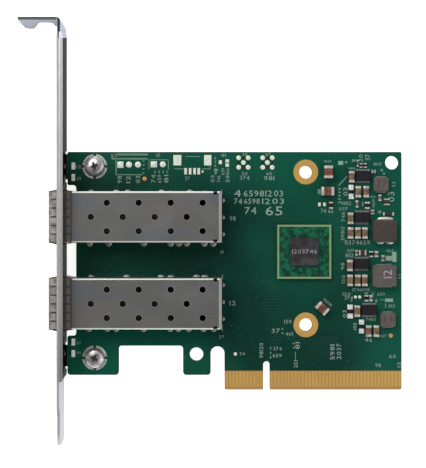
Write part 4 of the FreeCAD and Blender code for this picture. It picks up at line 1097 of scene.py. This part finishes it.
class CARD_OT_chip_parts(bpy.types.Operator):
    """Model the capacitors, the resistor and the small parts with wrapped metal ends"""
    bl_idname = "card.chip_parts"
    bl_label = "Model the Chip Parts"

    def execute(self, context):
        looks = context.scene.card_parts
        metal = context.scene.card_metal
        ends = plain_metal("part_ends", metal.ends, 0.35)
        bright_ends = plain_metal("white_part_ends", metal.bright_ends, 0.4)
        black = plastic_finish("resistor_body", looks.moulding, 0.4, 0.3)
        grey = plastic_finish("grey_part_body", looks.grey_body, 0.4, 0.4)
        brown = plastic_finish("brown_part_body", looks.brown_body, 0.45, 0.4)
        self.own_parts("big_capacitor", (3.6, 2.5, 2.3), "capacitor_ceramic", looks.corner_radius,
                       ceramic_finish("big_capacitor_body", looks.rust), ends)
        self.own_parts("capacitor", (3.3, 1.6, 1.6), "capacitor_ceramic", looks.corner_radius,
                       ceramic_finish("capacitor_body", looks.ceramic), ends)
        self.own_parts("resistor", (2.0, 1.25, 0.5), "resistor_body", looks.corner_radius,
                       black, ends)
        for kind, finishes in {"dark": (black, ends), "bright": (black, bright_ends),
                               "grey": (grey, ends), "brown": (brown, ends)}.items():
            self.small_parts(kind, finishes)
        return {"FINISHED"}

    def own_parts(self, kind, size, slot, radius, *finishes):
        """One piece for each solid of a kind, copied from one model."""
        master = self.part(size, radius)
        for name in sorted(NODES):
            if name.rstrip("0123456789").rstrip("_") == kind:
                low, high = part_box(name)
                middle = middle_of(name)
                turn = self.turn(size, (high - low) / MM)
                piece = copied(master, spot(middle.x, middle.y, turn))
                piece.name = f"{name}_body"
                dress(piece, slot, *finishes, replaces=[name])
        drop(master)

    def small_parts(self, kind, finishes):
        """The small parts of one kind, which need their finishes before they are joined."""
        copies = []
        for x, y, length, width, turn, own, bare in SMALL_PARTS:
            if own == kind:
                part = self.part((length, width, 0.5), 0.06 * MM, bare / 2, finishes)
                part.data.transform(spot(x, y, turn))
                copies.append(part)
        dress(joined(copies, f"small_{kind}_parts"), "capacitor_ceramic")

    def turn(self, size, box):
        """Turn in degrees of a part of that size in a box of that size; only one lies askew."""
        if abs(box.x - size[0]) < 0.05:
            return 0.0
        if abs(box.y - size[0]) < 0.05:
            return 90.0
        return -42.0

    def part(self, size, radius, share=0.29, finishes=(None, None)):
        """One chip part lying along X: a slightly waisted body between two wrapped ends."""
        length, width, height = size
        thing = slab(length, width, height)
        inner = length * share
        with editing(thing):
            for cut in (-inner, inner):
                bpy.ops.mesh.select_all(action="SELECT")
                bpy.ops.mesh.bisect(plane_co=(cut * MM, 0, 0), plane_no=(1, 0, 0))
        rounded(thing, radius)
        for material in finishes:
            thing.data.materials.append(material)
        mark_faces(thing, 1, lambda middle: abs(middle.x) > inner * MM)
        waist = 0.03 * MM
        for vertex in thing.data.vertices:
            if abs(vertex.co.x) < (inner + 0.001) * MM:
                vertex.co.y -= math.copysign(waist, vertex.co.y)
                vertex.co.z -= waist if vertex.co.z > height * MM / 2 else 0.0
        return smooth(thing)


class CARD_OT_screws(bpy.types.Operator):
    """Model the domed pan-head screws with their cross recess"""
    bl_idname = "card.screws"
    bl_label = "Model the Screws"
    # In millimetres.
    head_height = 1.75
    shank_radius = 1.2
    recess_reach = 1.55
    recess_depth = 1.15

    def execute(self, context):
        zinc = screw_finish(context.scene.card_metal)
        dark = plastic_finish("recess_shadow", (0.05, 0.045, 0.045), 0.5, 0.3)
        for port, turn in (("upper", 20.0), ("lower", 65.0)):
            node = f"{port}_bracket_screw"
            low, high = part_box(node)
            middle = middle_of(node)
            neck = high.z - self.head_height * MM
            head = self.head(neck, high.z, (high.x - low.x) / 2)
            recess = self.recess(high.z / MM)
            modify(head, "BOOLEAN", object=recess, solver="EXACT")
            drop(recess)
            shank = disc(low.z, neck, self.shank_radius * MM, 24)
            piece = joined([head, shank], f"{port}_screw")
            mark_faces(piece, 1, lambda point: self.in_recess(point, high.z))
            piece.data.transform(spot(middle.x, middle.y, turn))
            dress(smooth(piece, 0.6), "screw_steel", zinc, dark, replaces=[node])
        return {"FINISHED"}

    def in_recess(self, point, top):
        """Whether a face of a screw about the Z axis lies low in its recess."""
        near = math.hypot(point.x, point.y) < self.recess_reach * MM
        return near and 0.45 * MM < top - point.z < 1.3 * MM

    def head(self, low, high, radius):
        """Pan head spun from its profile: upright rim, round shoulder and a low crown."""
        rim, shoulder, steps = 0.25, 0.55, 6
        rows = [(0.0, low), (radius, low), (radius, low + (high - low) * rim)]
        for step in range(1, steps):
            angle = math.pi / 2 * step / steps
            rows.append((radius * (1 - shoulder * (1 - math.cos(angle))),
                         low + (high - low) * (rim + 0.70 * math.sin(angle))))
        rows.append((0.0, high))
        edges = [(index, index + 1) for index in range(len(rows) - 1)]
        mesh = bpy.data.meshes.new("head")
        mesh.from_pydata([(across, 0.0, z) for across, z in rows], edges, [])
        thing = bpy.data.objects.new("head", mesh)
        bpy.context.collection.objects.link(thing)
        with editing(thing):
            bpy.ops.mesh.spin(steps=48, angle=2 * math.pi, center=(0, 0, 0), axis=(0, 0, 1),
                              use_auto_merge=True)
            bpy.ops.mesh.select_all(action="SELECT")
            bpy.ops.mesh.remove_doubles(threshold=0.000001)
            bpy.ops.mesh.normals_make_consistent(inside=False)
        return thing

    def recess(self, top):
        """Cross-shaped tool, tapered towards its bottom."""
        arms = []
        for turn in (0.0, 90.0):
            arm = slab(2.7, 0.84, 1.6)
            for vertex in arm.data.vertices:
                if vertex.co.z < 0.1 * MM:
                    vertex.co.x *= 0.45
                    vertex.co.y *= 0.7
            arm.data.transform(spot(0.0, 0.0, turn, top - self.recess_depth))
            arms.append(arm)
        cross, other = arms
        modify(cross, "BOOLEAN", operation="UNION", solver="EXACT", object=other)
        drop(other)
        return cross


class CARD_OT_inductors(bpy.types.Operator):
    """Model the pressed inductor cores with rounded edges and plain numbers on top"""
    bl_idname = "card.inductors"
    bl_label = "Model the Inductors"

    def execute(self, context):
        looks = context.scene.card_parts
        core = plastic_finish("pressed_core_grey", looks.ferrite, 0.55, 0.5)
        pale = plastic_finish("pressed_core_pale", looks.pale_ferrite, 0.5, 0.6)
        dark_ink = plastic_finish("core_ink_dark", looks.core_ink, 0.6, 0.4)
        pale_ink = plastic_finish("core_ink_pale", looks.pale_core_ink, 0.6, 0.4)
        plan = {
            "inductor_1": (pale, dark_ink, "inductor_core"),
            "inductor_2": (pale, dark_ink, "inductor_core"),
            "inductor_3": (core, None, "inductor_core"),
            "inductor_4": (pale, pale_ink, "inductor_ferrite"),
        }
        for name, (body, ink, slot) in plan.items():
            self.core(name, body, slot)
            if name in CORE_NUMBERS:
                self.number(name, ink, slot)
        return {"FINISHED"}

    def core(self, name, material, slot):
        """A pressed block, rounded more at its upright edges than round its top."""
        low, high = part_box(name)
        thing = cuboid(low, high)
        self.soften(thing, 0.45 * MM, lambda a, b: abs(a.z - b.z) > 0.5 * MM)
        self.soften(thing, 0.16 * MM, lambda a, b: min(a.z, b.z) > high.z - 0.01 * MM)
        thing.name = f"{name}_core"
        dress(smooth(thing, 0.5), slot, material, replaces=[name])

    def number(self, name, ink, slot):
        """Plain digits on top of a core."""
        middle = middle_of(name)
        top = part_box(name)[1].z / MM
        stamp = DigitStamp()
        digits = []
        for text, x, y, turn, height in CORE_NUMBERS[name]:
            digits += stamp.row(text, middle.x + x, middle.y + y, turn, height, level=top)
        dress(joined(digits, f"{name}_number"), slot, ink)
        stamp.clear()

    def soften(self, thing, width, test):
        """Bevel only the edges whose two ends pass a test."""
        # Leaves nothing selected.
        with editing(thing, "DESELECT"):
            pass
        points = thing.data.vertices
        for edge in thing.data.edges:
            first, second = (points[index].co for index in edge.vertices)
            edge.select = test(first, second)
        with editing(thing, None):
            bpy.ops.mesh.select_mode(type="EDGE")
            bpy.ops.mesh.bevel(offset=width, segments=3)


class CARD_OT_stage(bpy.types.Operator):
    """Set up the floor, the world, the lamps and the camera"""
    bl_idname = "card.stage"
    bl_label = "Set the Stage"

    def execute(self, context):
        looks = context.scene.card_stage
        self.floor(looks)
        self.world(context, looks)
        self.lamps(looks)
        self.camera(context, looks)
        context.scene.view_settings.view_transform = "Standard"
        return {"FINISHED"}

    def floor(self, looks):
        """Pale floor that looks white to the camera and in reflections, but keeps its shadow."""
        deselect()
        low, _ = CAD_BOX
        bpy.ops.mesh.primitive_plane_add(size=6.0, location=(0.0, 0.0, low.z - SKIN * MM))
        floor = settle(bpy.context.object)
        floor.name = "floor"
        finish = Finish("pale_floor", Roughness=0.9, Emission_Strength=1.0)
        cloud = finish.noise(3.0, 2.0, 0.5)
        rays = finish.node("ShaderNodeLightPath", {}).output.node.outputs
        seen = Socket(finish, rays["Is Camera Ray"])
        for name in ("Is Glossy Ray", "Is Transmission Ray"):
            seen = seen.most(Socket(finish, rays[name]))
        finish.set("Emission Color", seen * 0.86)
        material = finish.done(finish.mix(cloud, paler(looks.floor, 0.98), looks.floor))
        floor.data.materials.append(material)

    def world(self, context, looks):
        """White sky that darkens towards the zenith, so that flat metal isn't washed out."""
        world = bpy.data.worlds.new("studio")
        context.scene.world = world
        world.use_nodes = True
        tree = world.node_tree
        sky = tree.nodes["Background"]
        sky.inputs["Strength"].default_value = looks.sky
        place = tree.nodes.new("ShaderNodeTexCoord")
        split = tree.nodes.new("ShaderNodeSeparateXYZ")
        ramp = tree.nodes.new("ShaderNodeValToRGB")
        stops = ramp.color_ramp.elements
        stops.new(0.5)
        for stop, (position, grey) in zip(stops, ((0.0, 1.0), (0.62, 1.0), (0.93, 0.04))):
            stop.position = position
            stop.color = (grey, grey, grey, 1.0)
        tree.links.new(place.outputs["Generated"], split.inputs["Vector"])
        tree.links.new(split.outputs["Z"], ramp.inputs["Fac"])
        tree.links.new(ramp.outputs["Color"], sky.inputs["Color"])

    def lamps(self, looks):
        middle = (CAD_BOX[0] + CAD_BOX[1]) / 2
        plan = [
            ("softbox", (-0.35, 0.45, 0.75), 0.6, looks.lamp_power),
            ("fill", (0.5, -0.3, 0.6), 0.8, looks.lamp_power * 0.4),
        ]
        for name, offset, size, power in plan:
            place = middle + Vector(offset)
            bpy.ops.object.light_add(type="AREA", location=place)
            lamp = bpy.context.object
            lamp.name = name
            lamp.data.size = size
            lamp.data.energy = power
            lamp.rotation_euler = (middle - place).to_track_quat("-Z", "Y").to_euler()

    def camera(self, context, looks):
        """Camera straight above the card, looking down."""
        place = (looks.camera_x, looks.camera_y, looks.camera_height)
        bpy.ops.object.camera_add(location=place, rotation=(0.0, 0.0, 0.0))
        camera = bpy.context.object
        camera.data.lens = looks.lens
        camera.data.sensor_width = 36.0
        camera.data.clip_start = 0.01
        context.scene.camera = camera


class CARD_PT_looks(bpy.types.Panel):
    """The card's sizes, colours and makers"""
    bl_label = "Network Card"
    bl_idname = "CARD_PT_looks"
    bl_space_type = "VIEW_3D"
    bl_region_type = "UI"
    bl_category = "Network Card"

    def draw(self, context):
        for name, group in GROUPS.items():
            box = self.layout.box()
            box.label(text=group.__doc__)
            for key in group.__annotations__:
                box.prop(getattr(context.scene, name), key)
        for maker in MAKERS:
            self.layout.operator(maker.bl_idname)


MAKERS = (CARD_OT_finishes, CARD_OT_print, CARD_OT_pads, CARD_OT_solder, CARD_OT_chip_parts,
          CARD_OT_screws, CARD_OT_inductors, CARD_OT_stage)


def register():
    for group in (*GROUPS.values(), *MAKERS, CARD_PT_looks):
        bpy.utils.register_class(group)
    for name, group in GROUPS.items():
        setattr(bpy.types.Scene, name, bpy.props.PointerProperty(type=group))


def unregister():
    for name in GROUPS:
        delattr(bpy.types.Scene, name)
    for group in reversed((*GROUPS.values(), *MAKERS, CARD_PT_looks)):
        bpy.utils.unregister_class(group)


def main():
    register()
    for maker in MAKERS:
        group, name = maker.bl_idname.split(".")
        getattr(getattr(bpy.ops, group), name)()


if __name__ == "__main__":
    main()
